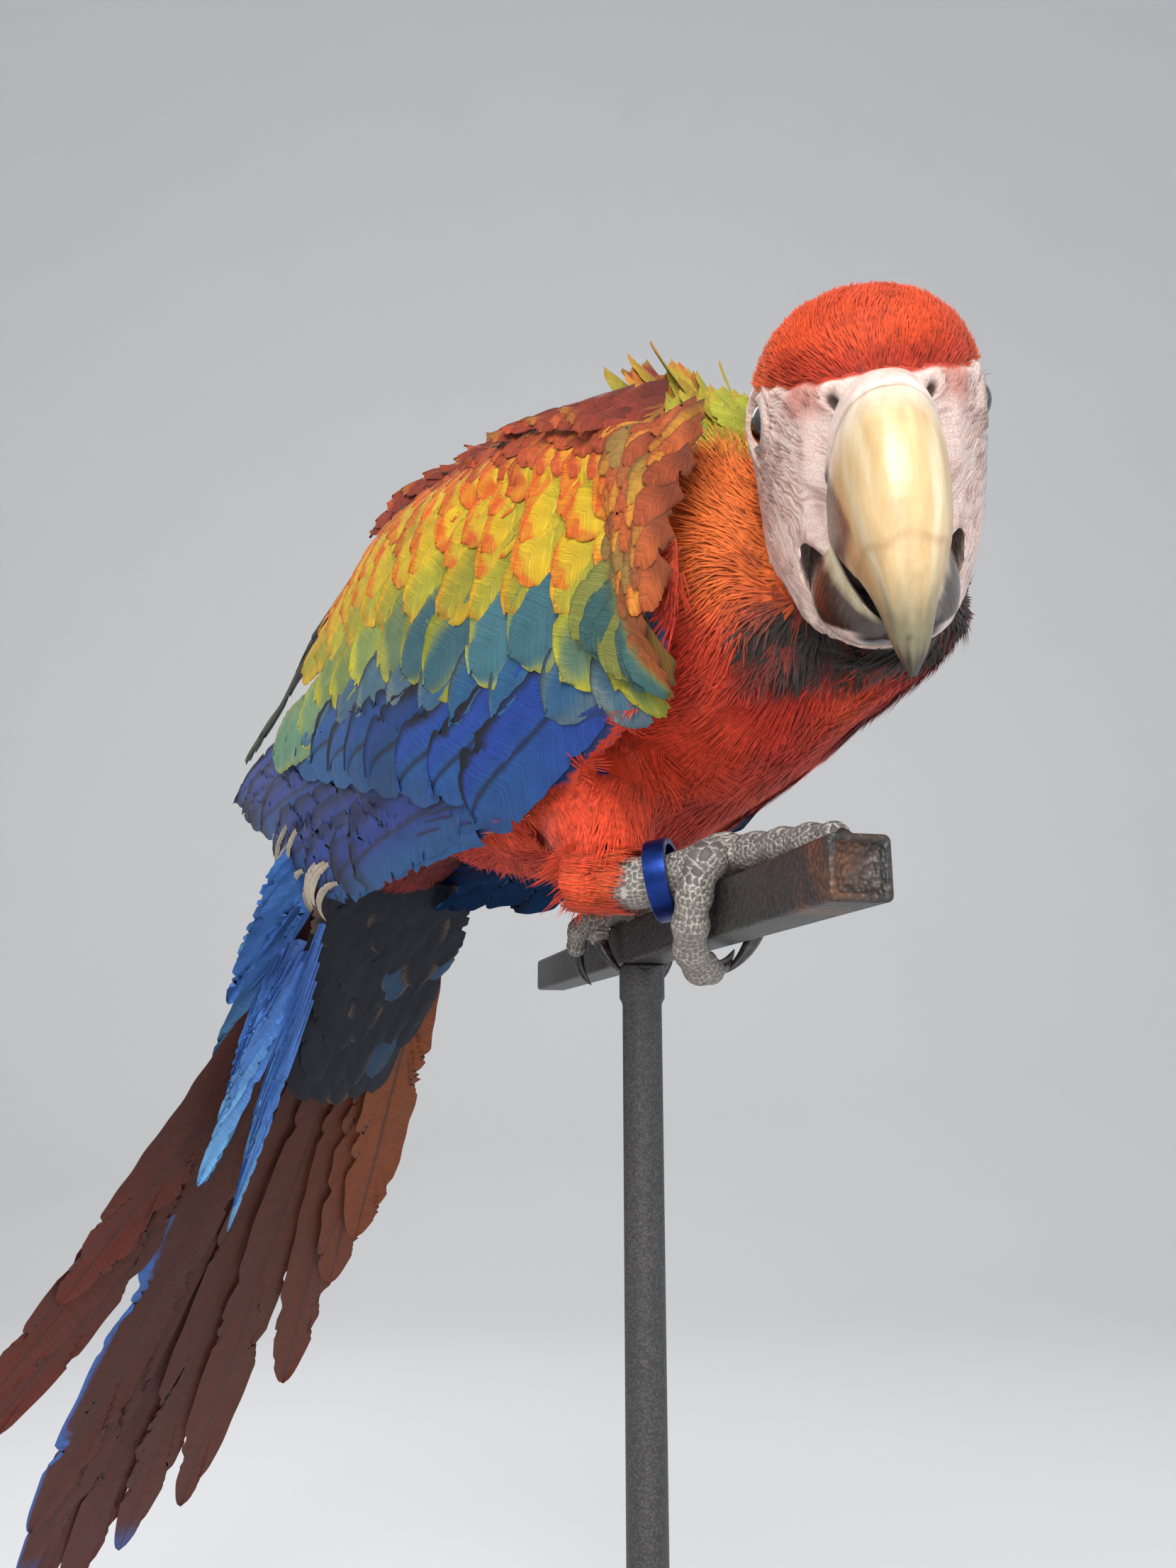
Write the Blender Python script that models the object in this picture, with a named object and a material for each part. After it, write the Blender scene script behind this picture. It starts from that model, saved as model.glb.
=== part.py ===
"""A life-size scarlet macaw that grips a short length of square bar on a plain display stand.

Sizes are millimetres in the bird's frame: zero lies between the feet, just over the bar,
+X is the bird's left, -Y lies ahead of it and +Z is up. The function placed() turns them
into metres above the floor, with zero under the middle of the stand's base.
"""
import math

import bmesh
import bpy
import numpy as np
from mathutils import Euler, Vector

MM = 0.001
GAP = 0.3                       # air between two solids that meet
ROUNDNESS = 2.2                 # exponent of the body's sections, where 2 is an ellipse
BODY_SIDES = 17                 # corners of a section of the trunk or neck

# Perch and stand
FEET_HEIGHT = 400.0             # height of zero above the floor
BAR_TOP = -3.0
BAR_SIDE = 12.7
BAR_AHEAD = 140.0               # bar ahead of and behind zero
BAR_BEHIND = 165.0
BAR_YAW = math.radians(27.6)    # the bar's turn from straight ahead to the bird's right
BASE_MIDDLE = (-2.0, 36.0)      # the base's middle, under the model's centre of mass
BASE_SIZE = (240.0, 300.0, 16.0)
ROD_RADIUS = 6.0
ROD_AT = -16.0                  # the rod's place along the bar

# Head: zero is midway between the eyes, -Y runs to the beak and +Z to the crown
HEAD_AT = (-24.3, -102.3, 108.1)
HEAD_YAW = math.radians(46.8)   # to the bird's right
HEAD_PITCH = math.radians(34.4)  # beak down
HEAD_ROLL = math.radians(-3.3)
EYE_RADIUS = 6.6
EYE_OUT = 22.4                  # eye centre from the head's middle
JAW_ROUNDNESS = 3.4             # the face is squarer below the eyes
# along Y, middle height, half width, reach up, reach down
HEAD_STATIONS = (
    (38.0, 0.0, 7.0, 9.0, 10.0),
    (34.0, 0.0, 15.0, 16.0, 21.0),
    (26.0, 0.0, 22.0, 22.0, 33.0),
    (14.0, 0.0, 26.5, 26.5, 44.0),
    (2.0, 0.0, 27.6, 29.0, 51.0),
    (-9.0, -1.0, 26.0, 28.0, 54.0),
    (-18.0, -2.0, 21.5, 25.5, 55.0),
    (-26.0, -4.0, 16.8, 20.5, 53.0),
    (-32.0, -8.0, 13.0, 14.5, 47.0),
    (-35.0, -14.0, 9.5, 7.0, 38.0),
)

# Beak, in the head's frame
CULMEN_START = (-33.0, 10.5)    # y and z where the ridge leaves the cere
CULMEN_TIP = (-63.7, -47.8)
CULMEN_RISE = 15.5              # height of the ridge's arc over its chord
# along the beak 0..1: inner edge y and z, half width
UPPER_STATIONS = (
    (0.0, -17.0, -21.0, 13.6),
    (0.2, -27.0, -24.5, 14.2),
    (0.4, -38.0, -27.0, 12.8),
    (0.6, -47.5, -29.5, 10.6),
    (0.8, -56.0, -36.0, 7.6),
    (0.93, -61.0, -43.0, 4.4),
    (1.0, -63.0, -47.2, 1.2),
)
# along the lower beak 0..1: upper edge y and z, lower edge y and z, half width
LOWER_STATIONS = (
    (0.0, -13.0, -17.0, -8.0, -42.0, 18.2),
    (0.25, -22.0, -23.0, -16.0, -46.5, 19.0),
    (0.5, -31.0, -29.0, -26.0, -48.5, 17.6),
    (0.75, -39.0, -34.0, -36.0, -48.5, 13.6),
    (0.92, -44.5, -38.5, -43.0, -47.0, 8.6),
    (1.0, -46.5, -41.0, -46.0, -45.0, 4.0),
)

# Trunk and neck, from the tail's root to the head: middle x, y and z, lean of the section
# in degrees, half width, reach up, reach down
TRUNK_STATIONS = (
    (3.0, 172.0, 24.0, 50.0, 27.5, 10.0, 11.0),
    (2.5, 162.0, 35.0, 44.0, 30.0, 17.0, 16.0),
    (1.5, 146.0, 49.0, 34.0, 35.0, 30.0, 24.0),
    (0.5, 120.0, 66.0, 22.0, 42.0, 44.0, 41.0),
    (0.0, 85.0, 79.0, 10.0, 48.0, 60.0, 62.0),
    (0.0, 45.0, 86.0, 3.0, 52.0, 65.0, 74.0),
    (0.0, 5.0, 88.0, 0.0, 53.0, 60.0, 74.0),
    (0.0, -25.0, 89.0, 0.0, 51.0, 54.0, 65.0),
)
NECK_STATIONS = (
    (0.0, -25.0, 89.0, 0.0, 51.0, 54.0, 65.0),
    (-1.0, -45.0, 88.0, 4.0, 47.0, 51.0, 56.5),
    (0.0, -60.0, 88.0, 10.0, 40.0, 48.0, 48.0),
    (3.5, -72.0, 88.0, 18.0, 31.5, 43.0, 41.5),
    (3.0, -83.0, 86.0, 26.0, 25.5, 36.0, 35.0),
    (2.0, -92.0, 83.0, 34.0, 19.0, 26.0, 27.0),
    (-2.0, -98.0, 81.0, 40.0, 9.0, 12.0, 13.0),
)
# Raised feathers of the nape and upper back: root y and z, tip y and z, x, half width
NAPE_RUFFLE = ((-38.0, 134.0, -12.0, 166.0, -7.0, 9.0),)
BACK_RUFFLE = ((-18.0, 126.0, 3.0, 153.0, -14.0, 6.0),)

# Folded wing. Along Y: half width of the surface it lies on, the surface's middle height,
# and its reach above and below that
WING_SURFACE = (
    (-68.0, 49.0, 84.0, 54.0, 90.0),
    (-50.0, 53.0, 86.0, 60.0, 95.0),
    (-25.0, 55.0, 87.0, 62.0, 100.0),
    (0.0, 56.5, 87.0, 66.0, 105.0),
    (40.0, 56.0, 86.0, 70.0, 105.0),
    (80.0, 53.0, 80.0, 81.0, 95.0),
    (120.0, 47.0, 74.0, 83.0, 80.0),
    (160.0, 41.0, 70.0, 73.0, 66.0),
    (200.0, 33.0, 68.0, 52.0, 52.0),
    (240.0, 25.0, 68.0, 42.0, 40.0),
    (275.0, 19.0, 70.0, 34.0, 34.0),
)
# along Y: the wing's lower edge, the coverts' lower edge, the wing's upper edge
WING_EDGES = (
    (-67.0, 64.0, 66.0, 78.0),
    (-60.0, 47.0, 50.0, 98.0),
    (-41.0, 35.0, 53.0, 114.0),
    (-21.0, 27.0, 58.0, 122.0),
    (6.0, 20.0, 62.0, 130.0),
    (23.0, 17.0, 65.0, 134.0),
    (49.0, 24.0, 72.0, 138.0),
    (76.0, 27.0, 78.0, 150.0),
    (113.0, 27.0, 84.0, 149.0),
    (150.0, 27.0, 89.0, 136.0),
    (188.0, 28.0, 96.0, 114.0),
    (214.0, 40.0, 103.0, 106.0),
    (240.0, 55.0, 90.0, 95.0),
    (272.0, 72.0, 76.0, 80.0),
)
LEFT_BACK = 10.0                # the left wing is tucked further back than the right
LEFT_LIFT = 40.0                # and its lower edge is drawn up towards the shoulder
WING_START = -67.0
COVERTS_END = 211.0
PRIMARIES_TOP_START = 217.0     # from here back the primaries reach the wing's upper edge
WING_SEAM = 1.2                 # air between the coverts and the flight feathers
SECONDARIES_START = -58.0
SECONDARIES_END = 120.0
WING_END = 272.0
# along Y: thickness at the wing's middle and at its edges
WING_THICKNESS = (
    (-67.0, 6.0, 4.0),
    (-55.0, 10.0, 6.0),
    (-20.0, 11.0, 5.0),
    (60.0, 8.0, 3.5),
    (140.0, 5.0, 2.5),
    (275.0, 2.4, 1.6),
)
NOTCH_DEPTH = 7.0               # between the tips of neighbouring flight feathers
FEATHER_TIPS = (23.0, 49.0, 77.0, 113.0, 146.0, 172.0, 192.0, 214.0, 238.0, 257.0, 274.0)

# Tail: each feather's tip along and across the fan, from the middle feather outwards
TAIL_SLOPE = math.radians(50.0)
TAIL_LAYER = 1.0                # from one feather to the next below it
FEATHER_THICK = 0.6
FEATHER_WIDTH = 27.0
RIGHT_TIPS = ((482.0, -20.0), (440.0, -26.0), (392.0, -32.0),
              (318.0, -76.0), (288.0, -82.0), (222.0, -64.0))
LEFT_TIPS = ((466.0, 2.0), (428.0, 22.0), (398.0, 46.0),
             (307.0, 72.0), (232.0, 70.0), (198.0, 71.0))
RIGHT_BEND = 1.6                # how late a feather of each side turns out
LEFT_BEND = 1.15
RIGHT_ROOTS = (-1.0, 3.2)       # the middle feather's root, and the step to the next
LEFT_ROOTS = (5.0, 6.2)
# along the fan: half width, lower and upper face of the upper coverts, then of the lower ones
UPPER_COVERTS = (
    (0.0, 18.0, 7.0, 8.4),
    (35.0, 34.0, 7.0, 10.0),
    (80.0, 30.0, 7.0, 9.5),
    (130.0, 12.0, 7.0, 8.0),
    (150.0, 3.0, 7.0, 7.6),
)
LOWER_COVERTS = (
    (0.0, 32.0, -11.0, -7.0),
    (30.0, 38.0, -13.0, -7.0),
    (70.0, 27.0, -10.5, -7.0),
    (105.0, 11.0, -8.4, -7.0),
    (118.0, 3.0, -7.6, -7.0),
)

# Legs. Thigh: x, y, z and radius in the bird's frame, from hip to ankle
RIGHT_THIGH = ((-18.0, 14.0, 56.0, 26.0), (-26.0, 0.0, 36.0, 24.0),
               (-36.5, -17.0, 18.5, 17.5), (-46.5, -32.0, 5.0, 9.8))
LEFT_THIGH = ((22.0, 26.0, 52.0, 20.0), (27.0, 32.0, 34.0, 21.0),
              (35.0, 38.0, 20.0, 16.0), (42.0, 43.0, 9.0, 10.0))
# Foot: along the bar, out to the bird's right of it, height and radius
RIGHT_FOOT = {
    "tarsus": ((52.5, 26.0, -0.5, 7.0), (56.5, 19.5, -1.0, 6.4),
               (61.5, 11.5, 0.0, 5.8), (70.0, 2.0, 4.3, 5.6)),
    "toe_3": ((70.2, 2.3, 4.1, 5.3), (82.0, -2.0, 3.2, 4.4), (93.0, -4.0, 2.5, 4.2),
              (104.0, -6.0, 2.0, 3.7), (113.0, -7.6, 1.4, 3.0)),
    "toe_2": ((71.4, 1.2, 4.3, 5.1), (77.0, 8.8, 1.2, 4.4), (76.5, 12.0, -7.0, 4.1),
              (73.5, 12.0, -13.0, 4.2), (67.0, 10.0, -18.5, 4.0),
              (60.5, 5.5, -22.0, 4.1), (56.5, 1.5, -22.6, 3.0)),
    "toe_1": ((71.8, 3.1, 3.4, 5.0), (62.0, -8.0, 1.8, 4.2),
              (57.0, -12.0, -4.0, 3.8), (54.0, -12.0, -11.0, 3.0)),
    "toe_4": ((72.1, 2.4, 3.2, 4.9), (58.0, -2.0, 2.4, 4.2), (46.0, -5.0, 1.4, 4.0),
              (38.0, -9.0, 0.6, 3.6), (33.0, -11.5, -4.0, 3.0)),
}
LEFT_FOOT = {
    "tarsus": ((-57.0, -18.0, 5.0, 6.8), (-52.0, -12.0, 5.0, 6.3),
               (-46.0, -6.0, 4.6, 6.0), (-40.0, -1.0, 3.5, 5.6)),
    "toe_3": ((-40.8, -1.7, 3.3, 5.2), (-31.0, 7.0, 2.4, 4.2),
              (-25.0, 11.4, -1.5, 3.8), (-22.0, 12.0, -7.0, 3.0)),
    "toe_2": ((-39.3, -1.4, 3.7, 5.1), (-48.0, 6.5, 2.4, 4.2),
              (-54.0, 11.4, -1.5, 3.8), (-57.0, 12.0, -7.5, 3.0)),
    "toe_1": ((-40.5, 0.2, 3.4, 5.0), (-35.0, -8.5, 1.8, 4.2),
              (-31.0, -12.0, -4.0, 3.8), (-29.0, -12.0, -11.0, 3.0)),
    "toe_4": ((-38.9, -0.6, 3.2, 4.9), (-53.0, -3.0, 2.2, 4.2), (-64.0, -6.0, 1.4, 4.0),
              (-71.0, -9.5, 0.4, 3.6), (-75.0, -11.5, -4.0, 3.0)),
}
CLAW_LENGTH = 15.0
CLAW_CURL = math.radians(70.0)  # a claw's turn from its root to its point
CLAW_RADIUS = 2.3

# Leg ring, loose on the right tarsus
RING_OUTER = 10.3
RING_INNER = 8.6
RING_WIDTH = 5.6
RING_AT = (60.2, 14.3, -0.8)    # along the bar, out from it, height
RING_AXIS = (0.5, -0.86, 0.15)  # the same way


def new_collection(name, hidden=False):
    """A collection in the scene; a hidden one holds the cutters."""
    made = bpy.data.collections.new(name)
    bpy.context.scene.collection.children.link(made)
    made.hide_render = hidden
    return made


def clear_scene():
    """Empty the file without closing it."""
    for old in list(bpy.data.objects):
        bpy.data.objects.remove(old, do_unlink=True)


def placed(point):
    """A point of the bird's frame, in metres over the stand's middle."""
    x, y, z = point
    return Vector(((x - BASE_MIDDLE[0]) * MM, (y - BASE_MIDDLE[1]) * MM, (z + FEET_HEIGHT) * MM))


def from_head(point):
    """A point of the head's frame in the bird's frame."""
    turn = Euler((HEAD_PITCH, HEAD_ROLL, -HEAD_YAW), "YXZ").to_matrix()
    return Vector(HEAD_AT) + turn @ Vector(point)


def from_bar(along, out, height):
    """A point given along the bar, out to its right and above zero, in the bird's frame."""
    ahead = Vector((-math.sin(BAR_YAW), -math.cos(BAR_YAW), 0.0))
    right = Vector((-math.cos(BAR_YAW), math.sin(BAR_YAW), 0.0))
    return ahead * along + right * out + Vector((0.0, 0.0, height))


def between(stations, at):
    """The values at one place, on a smooth curve through stations of (place, values)."""
    table = np.array(sorted(stations))
    places = table[:, 0]
    values = table[:, 1:]
    slopes = np.gradient(values, places, axis=0)
    at = float(np.clip(at, places[0], places[-1]))
    i = int(np.clip(np.searchsorted(places, at) - 1, 0, len(places) - 2))
    span = places[i + 1] - places[i]
    t = (at - places[i]) / span
    low = (2 * t**3 - 3 * t**2 + 1) * values[i] + (t**3 - 2 * t**2 + t) * span * slopes[i]
    high = (3 * t**2 - 2 * t**3) * values[i + 1] + (t**3 - t**2) * span * slopes[i + 1]
    return low + high


def smooth_path(points, count):
    """Points evenly spread by number on a smooth curve through a short list."""
    stations = [(i, *point) for i, point in enumerate(points)]
    return [between(stations, t) for t in np.linspace(0, len(points) - 1, count)]


def section(half_width, up, down, count, low_roundness=ROUNDNESS):
    """An egg-like ring of (across, up) offsets, counter-clockwise from +across."""
    ring = []
    for i in range(count):
        angle = 2 * math.pi * i / count
        c = math.cos(angle)
        s = math.sin(angle)
        power = 2 / (ROUNDNESS if s > 0 else low_roundness)
        across = math.copysign(abs(c) ** power, c) * half_width
        rise = math.copysign(abs(s) ** power, s) * (up if s > 0 else down)
        ring.append((across, rise))
    return ring


def material(name, colour, roughness, metallic=0.0):
    """One Principled material."""
    made = bpy.data.materials.new(name)
    made.use_nodes = True
    shader = made.node_tree.nodes["Principled BSDF"]
    shader.inputs["Base Color"].default_value = (*colour, 1.0)
    shader.inputs["Roughness"].default_value = roughness
    shader.inputs["Metallic"].default_value = metallic
    made.diffuse_color = (*colour, 1.0)
    return made


def finish_mesh(name, bm, collection, look):
    """Close a bmesh into a named object with its faces pointing out."""
    bmesh.ops.recalc_face_normals(bm, faces=bm.faces)
    bmesh.ops.triangulate(bm, faces=bm.faces)
    mesh = bpy.data.meshes.new(name)
    bm.to_mesh(mesh)
    bm.free()
    mesh.materials.append(look)
    mesh.shade_smooth()
    mesh.set_sharp_from_angle(angle=math.radians(40.0))
    made = bpy.data.objects.new(name, mesh)
    collection.objects.link(made)
    return made


def loft(name, rings, collection, look):
    """A closed body over rings of equal count, each end filled flat."""
    bm = bmesh.new()
    rows = [[bm.verts.new(placed(point)) for point in ring] for ring in rings]
    count = len(rows[0])
    for first, second in zip(rows, rows[1:]):
        for i in range(count):
            j = (i + 1) % count
            bm.faces.new((first[i], first[j], second[j], second[i]))
    bm.faces.new(rows[0])
    bm.faces.new(rows[-1])
    return finish_mesh(name, bm, collection, look)


def shell(name, inner, outer, collection, look):
    """A closed slab between two grids of points of equal shape."""
    bm = bmesh.new()
    layers = [[[bm.verts.new(placed(point)) for point in row] for row in grid] for grid in (inner, outer)]
    rows = len(inner)
    columns = len(inner[0])
    for layer in layers:
        for i in range(rows - 1):
            for j in range(columns - 1):
                bm.faces.new((layer[i][j], layer[i][j + 1], layer[i + 1][j + 1], layer[i + 1][j]))
    rim = [(0, j) for j in range(columns)] + [(i, columns - 1) for i in range(1, rows)]
    rim += [(rows - 1, j) for j in range(columns - 2, -1, -1)] + [(i, 0) for i in range(rows - 2, 0, -1)]
    for (a, b), (c, d) in zip(rim, rim[1:] + rim[:1]):
        bm.faces.new((layers[0][a][b], layers[0][c][d], layers[1][c][d], layers[1][a][b]))
    return finish_mesh(name, bm, collection, look)


def tube(name, path, sides, collection, look):
    """A closed tube along points of (x, y, z, radius), with each ring square to the path."""
    centres = [Vector(point[:3]) for point in path]
    rings = []
    side = None
    for i, centre in enumerate(centres):
        ahead = (centres[min(i + 1, len(centres) - 1)] - centres[max(i - 1, 0)]).normalized()
        if side is None:
            side = ahead.orthogonal().normalized()
        side = (side - ahead * side.dot(ahead)).normalized()
        other = ahead.cross(side)
        radius = path[i][3]
        angles = [2 * math.pi * j / sides for j in range(sides)]
        rings.append([centre + (side * math.cos(a) + other * math.sin(a)) * radius for a in angles])
    return loft(name, rings, collection, look)


def grown(source, by, collection):
    """A cutter: a copy of a body with its surface moved out along its normals."""
    bpy.context.view_layer.update()
    mesh = source.data.copy()
    for vertex, normal in zip(mesh.vertices, [v.normal.copy() for v in mesh.vertices]):
        vertex.co += normal * by * MM
    made = bpy.data.objects.new(source.name + "_cutter", mesh)
    made.matrix_world = source.matrix_world
    made.display_type = "WIRE"
    made.hide_render = True
    collection.objects.link(made)
    return made


def combine(target, other, operation):
    """Cut the target with another body, or join it on."""
    step = target.modifiers.new(operation.lower() + "_" + other.name, "BOOLEAN")
    step.operation = operation
    step.solver = "EXACT"
    step.object = other


def body_rings(stations, count):
    """Rings of the trunk or neck, each square to its own lean."""
    rings = []
    for x, y, z, lean, half_width, up, down in smooth_path(stations, count):
        angle = math.radians(lean)
        rise = Vector((0.0, math.sin(angle), math.cos(angle)))
        middle = Vector((x, y, z))
        ring = section(half_width, up, down, BODY_SIDES)
        rings.append([middle + Vector((across, 0.0, 0.0)) + rise * height for across, height in ring])
    return rings


def ruffle_feather(name, root, tip, half_width, collection, look):
    """A raised feather that tapers from its root to a rounded tip."""
    root = Vector(root)
    ahead = Vector(tip) - root
    over = Vector((0.0, -ahead.z, ahead.y)).normalized()
    rings = []
    for share, width, thick in ((0.0, 1.0, 2.5), (0.45, 1.0, 2.0), (0.8, 0.7, 1.4), (1.0, 0.2, 0.8)):
        middle = root + ahead * share
        corners = ((-1, -1), (1, -1), (1, 1), (-1, 1))
        half = half_width * width
        rings.append([middle + Vector((a * half, 0.0, 0.0)) + over * b * thick for a, b in corners])
    tuft = loft(name, rings, collection, look)
    tuft.hide_render = True
    tuft.display_type = "WIRE"
    return tuft


def add_ruffle(body, word, ruffle, cutters, look):
    """Join a row of raised feathers to a body."""
    for i, (root_y, root_z, tip_y, tip_z, x, half) in enumerate(ruffle):
        root = (x, root_y, root_z)
        tuft = ruffle_feather("%s_%d" % (word, i), root, (x, tip_y, tip_z), half, cutters, look)
        combine(body, tuft, "UNION")


def build_trunk(collection, cutters, look):
    """The trunk, from the tail's root to the shoulders."""
    trunk = loft("trunk", body_rings(TRUNK_STATIONS, 13), collection, look)
    add_ruffle(trunk, "back_ruffle", BACK_RUFFLE, cutters, look)
    return trunk


def build_neck(collection, cutters, look, head_cutters):
    """The neck and crop, cut round the back of the head and the jaw."""
    rings = body_rings(NECK_STATIONS, 10)
    rings[0] = [Vector(point) - Vector((0.0, GAP, 0.0)) for point in rings[0]]
    neck = loft("neck", rings, collection, look)
    add_ruffle(neck, "nape_ruffle", NAPE_RUFFLE, cutters, look)
    for cutter in head_cutters:
        combine(neck, cutter, "DIFFERENCE")
    return neck


def build_head(collection, look):
    """The head without its beak and eyes."""
    rings = []
    for y, middle, half_width, up, down in smooth_path(HEAD_STATIONS, 13):
        ring = section(half_width, up, down, 18, JAW_ROUNDNESS)
        rings.append([from_head((across, y, middle + height)) for across, height in ring])
    return loft("head", rings, collection, look)


def culmen(t):
    """A point of the upper beak's ridge, on an arc from the cere to the tip."""
    start = np.array(CULMEN_START)
    tip = np.array(CULMEN_TIP)
    chord = tip - start
    length = float(np.linalg.norm(chord))
    radius = (length**2 / 4 + CULMEN_RISE**2) / (2 * CULMEN_RISE)
    half_angle = math.asin(length / (2 * radius))
    ahead = chord / length
    out = np.array((ahead[1], -ahead[0]))
    if out[0] > 0:
        out = -out
    angle = half_angle * (2 * t - 1)
    along = length / 2 + radius * math.sin(angle)
    rise = radius * math.cos(angle) - (radius - CULMEN_RISE)
    return start + ahead * along + out * rise


def build_beak_upper(collection, look):
    """The hooked upper beak: a ridge over straight sides and a flat underside."""
    rings = []
    for t in np.linspace(0.0, 1.0, 13):
        inner_y, inner_z, half_width = between(UPPER_STATIONS, t)
        ridge = culmen(t)
        inner = np.array((inner_y, inner_z))
        ring = []
        for i in range(13):
            angle = math.pi * i / 12
            depth = (1 - math.sin(angle)) ** 1.1
            across = math.copysign(abs(math.cos(angle)) ** 0.85, math.cos(angle)) * half_width
            place = ridge + (inner - ridge) * depth
            ring.append(from_head((across * (1 - 0.12 * depth), place[0], place[1])))
        middle = ridge + (inner - ridge) * 0.93
        for share in (-0.5, 0.0, 0.5):
            ring.append(from_head((share * half_width, middle[0], middle[1])))
        rings.append(ring)
    return loft("beak_upper", rings, collection, look)


def build_beak_lower(collection, look):
    """The scoop-shaped lower beak."""
    rings = []
    for t in np.linspace(0.0, 1.0, 9):
        top_y, top_z, low_y, low_z, half_width = between(LOWER_STATIONS, t)
        top = np.array((top_y, top_z))
        low = np.array((low_y, low_z))
        ring = []
        for i in range(9):
            angle = math.pi * i / 8
            place = low + (top - low) * (1 - math.sin(angle)) ** 1.3
            across = math.copysign(abs(math.cos(angle)) ** 0.7, math.cos(angle)) * half_width
            ring.append(from_head((across, place[0], place[1])))
        hollow = low + (top - low) * 0.72
        for share in (-0.6, 0.0, 0.6):
            ring.append(from_head((share * half_width, hollow[0], hollow[1])))
        rings.append(ring)
    return loft("beak_lower", rings, collection, look)


def build_eye(name, side, collection, look):
    """An eyeball set in the side of the head."""
    bm = bmesh.new()
    bmesh.ops.create_uvsphere(bm, u_segments=12, v_segments=8, radius=EYE_RADIUS * MM)
    eye = finish_mesh(name, bm, collection, look)
    eye.location = placed(from_head((side * EYE_OUT, -1.0, 0.0)))
    return eye


def wing_surface(side, y, z, out):
    """A point over the surface that the folded wing lies on, moved out from it."""
    if side > 0:
        near_shoulder = float(np.clip((40.0 - y) / 100.0, 0.0, 1.0))
        z += LEFT_LIFT * near_shoulder * float(np.clip((90.0 - z) / 60.0, 0.0, 1.0))
        y += LEFT_BACK
    half_width, middle, reach_up, reach_down = between(WING_SURFACE, y)
    reach = reach_up if z > middle else reach_down
    rise = min(abs(z - middle) / reach, 0.97)
    across = half_width * (1 - rise**ROUNDNESS) ** (1 / ROUNDNESS)
    normal = np.array(((across / half_width) ** (ROUNDNESS - 1) / half_width,
                       math.copysign(rise ** (ROUNDNESS - 1) / reach, z - middle)))
    normal = normal / np.linalg.norm(normal)
    return Vector((side * (across + normal[0] * out), y, z + normal[1] * out))


def notch(y):
    """How far the wing's edge rises between feather tips: 0 at a tip, 1 in a notch."""
    for tip, following in zip(FEATHER_TIPS, FEATHER_TIPS[1:]):
        if tip <= y < following:
            share = (y - tip) / (following - tip)
            return math.sin(math.pi * min(share / 0.5, 1.0) / 2) if share < 0.25 else (1 - share) ** 1.5
    return 0.0


def wing_part(name, side, limits, edges, collection, look):
    """A slab of the folded wing between two of its edge lines."""
    start, end, columns, rows = limits
    inner = []
    outer = []
    for row in range(rows + 1):
        inner.append([])
        outer.append([])
        share = row / rows
        for y in np.linspace(start, end, columns + 1):
            low, high = edges(y)
            z = low + (high - low) * share
            thick_middle, thick_edge = between(WING_THICKNESS, y)
            thick = thick_edge + (thick_middle - thick_edge) * math.sin(math.pi * share) ** 0.7
            inner[-1].append(wing_surface(side, y, z, 0.0))
            outer[-1].append(wing_surface(side, y, z, thick))
    return shell(name, inner, outer, collection, look)


def build_wing(word, side, collection, looks):
    """One folded wing: shoulder and coverts, secondaries below, primaries behind."""
    def coverts(y):
        _, middle, top = between(WING_EDGES, y)
        return middle + 0.35 * NOTCH_DEPTH * notch(y * 2.0), top

    def secondaries(y):
        low, middle, _ = between(WING_EDGES, y)
        return low + NOTCH_DEPTH * notch(y), middle - WING_SEAM

    def primaries(y):
        low, middle, top = between(WING_EDGES, y)
        high = middle - WING_SEAM if y < PRIMARIES_TOP_START else top
        return min(low + NOTCH_DEPTH * notch(y), high - 2.0), high

    wing_part("wing_" + word, side, (WING_START, COVERTS_END, 26, 4), coverts, collection, looks["coverts"])
    wing_part("wing_%s_primaries" % word, side, (SECONDARIES_END + GAP, WING_END, 28, 2),
              primaries, collection, looks["primaries"])
    return wing_part("wing_%s_secondaries" % word, side, (SECONDARIES_START, SECONDARIES_END, 30, 2),
                     secondaries, collection, looks["secondaries"])


def tail_point(along, across, height):
    """A point of the tail: along its slope, to the bird's left, and over its upper face."""
    ahead = Vector((0.0, math.cos(TAIL_SLOPE), -math.sin(TAIL_SLOPE)))
    over = Vector((0.0, math.sin(TAIL_SLOPE), math.cos(TAIL_SLOPE)))
    root = Vector((0.0, *TRUNK_STATIONS[0][1:3]))
    return root + ahead * along + Vector((across, 0.0, 0.0)) + over * height


def tail_feather(name, tip, root_across, bend, height, collection, look):
    """One flat tail feather, widest past its middle, with a rounded point."""
    rings = []
    for t in (0.0, 0.08, 0.2, 0.36, 0.52, 0.68, 0.8, 0.9, 0.96, 1.0):
        along = GAP + (tip[0] - GAP) * t
        across = root_across + (tip[1] - root_across) * t**bend
        swell = math.sin(math.pi / 2 * min(t / 0.35, 1.0))
        taper = math.sqrt(max(1 - ((t - 0.62) / 0.39) ** 2, 0.0)) if t > 0.62 else 1.0
        half = max(FEATHER_WIDTH / 2 * (0.32 + 0.68 * swell) * taper, 1.2)
        low = height - FEATHER_THICK
        corners = ((-half, low), (half, low), (half, height), (-half, height))
        rings.append([tail_point(along, across + c, h) for c, h in corners])
    return loft(name, rings, collection, look)


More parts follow.
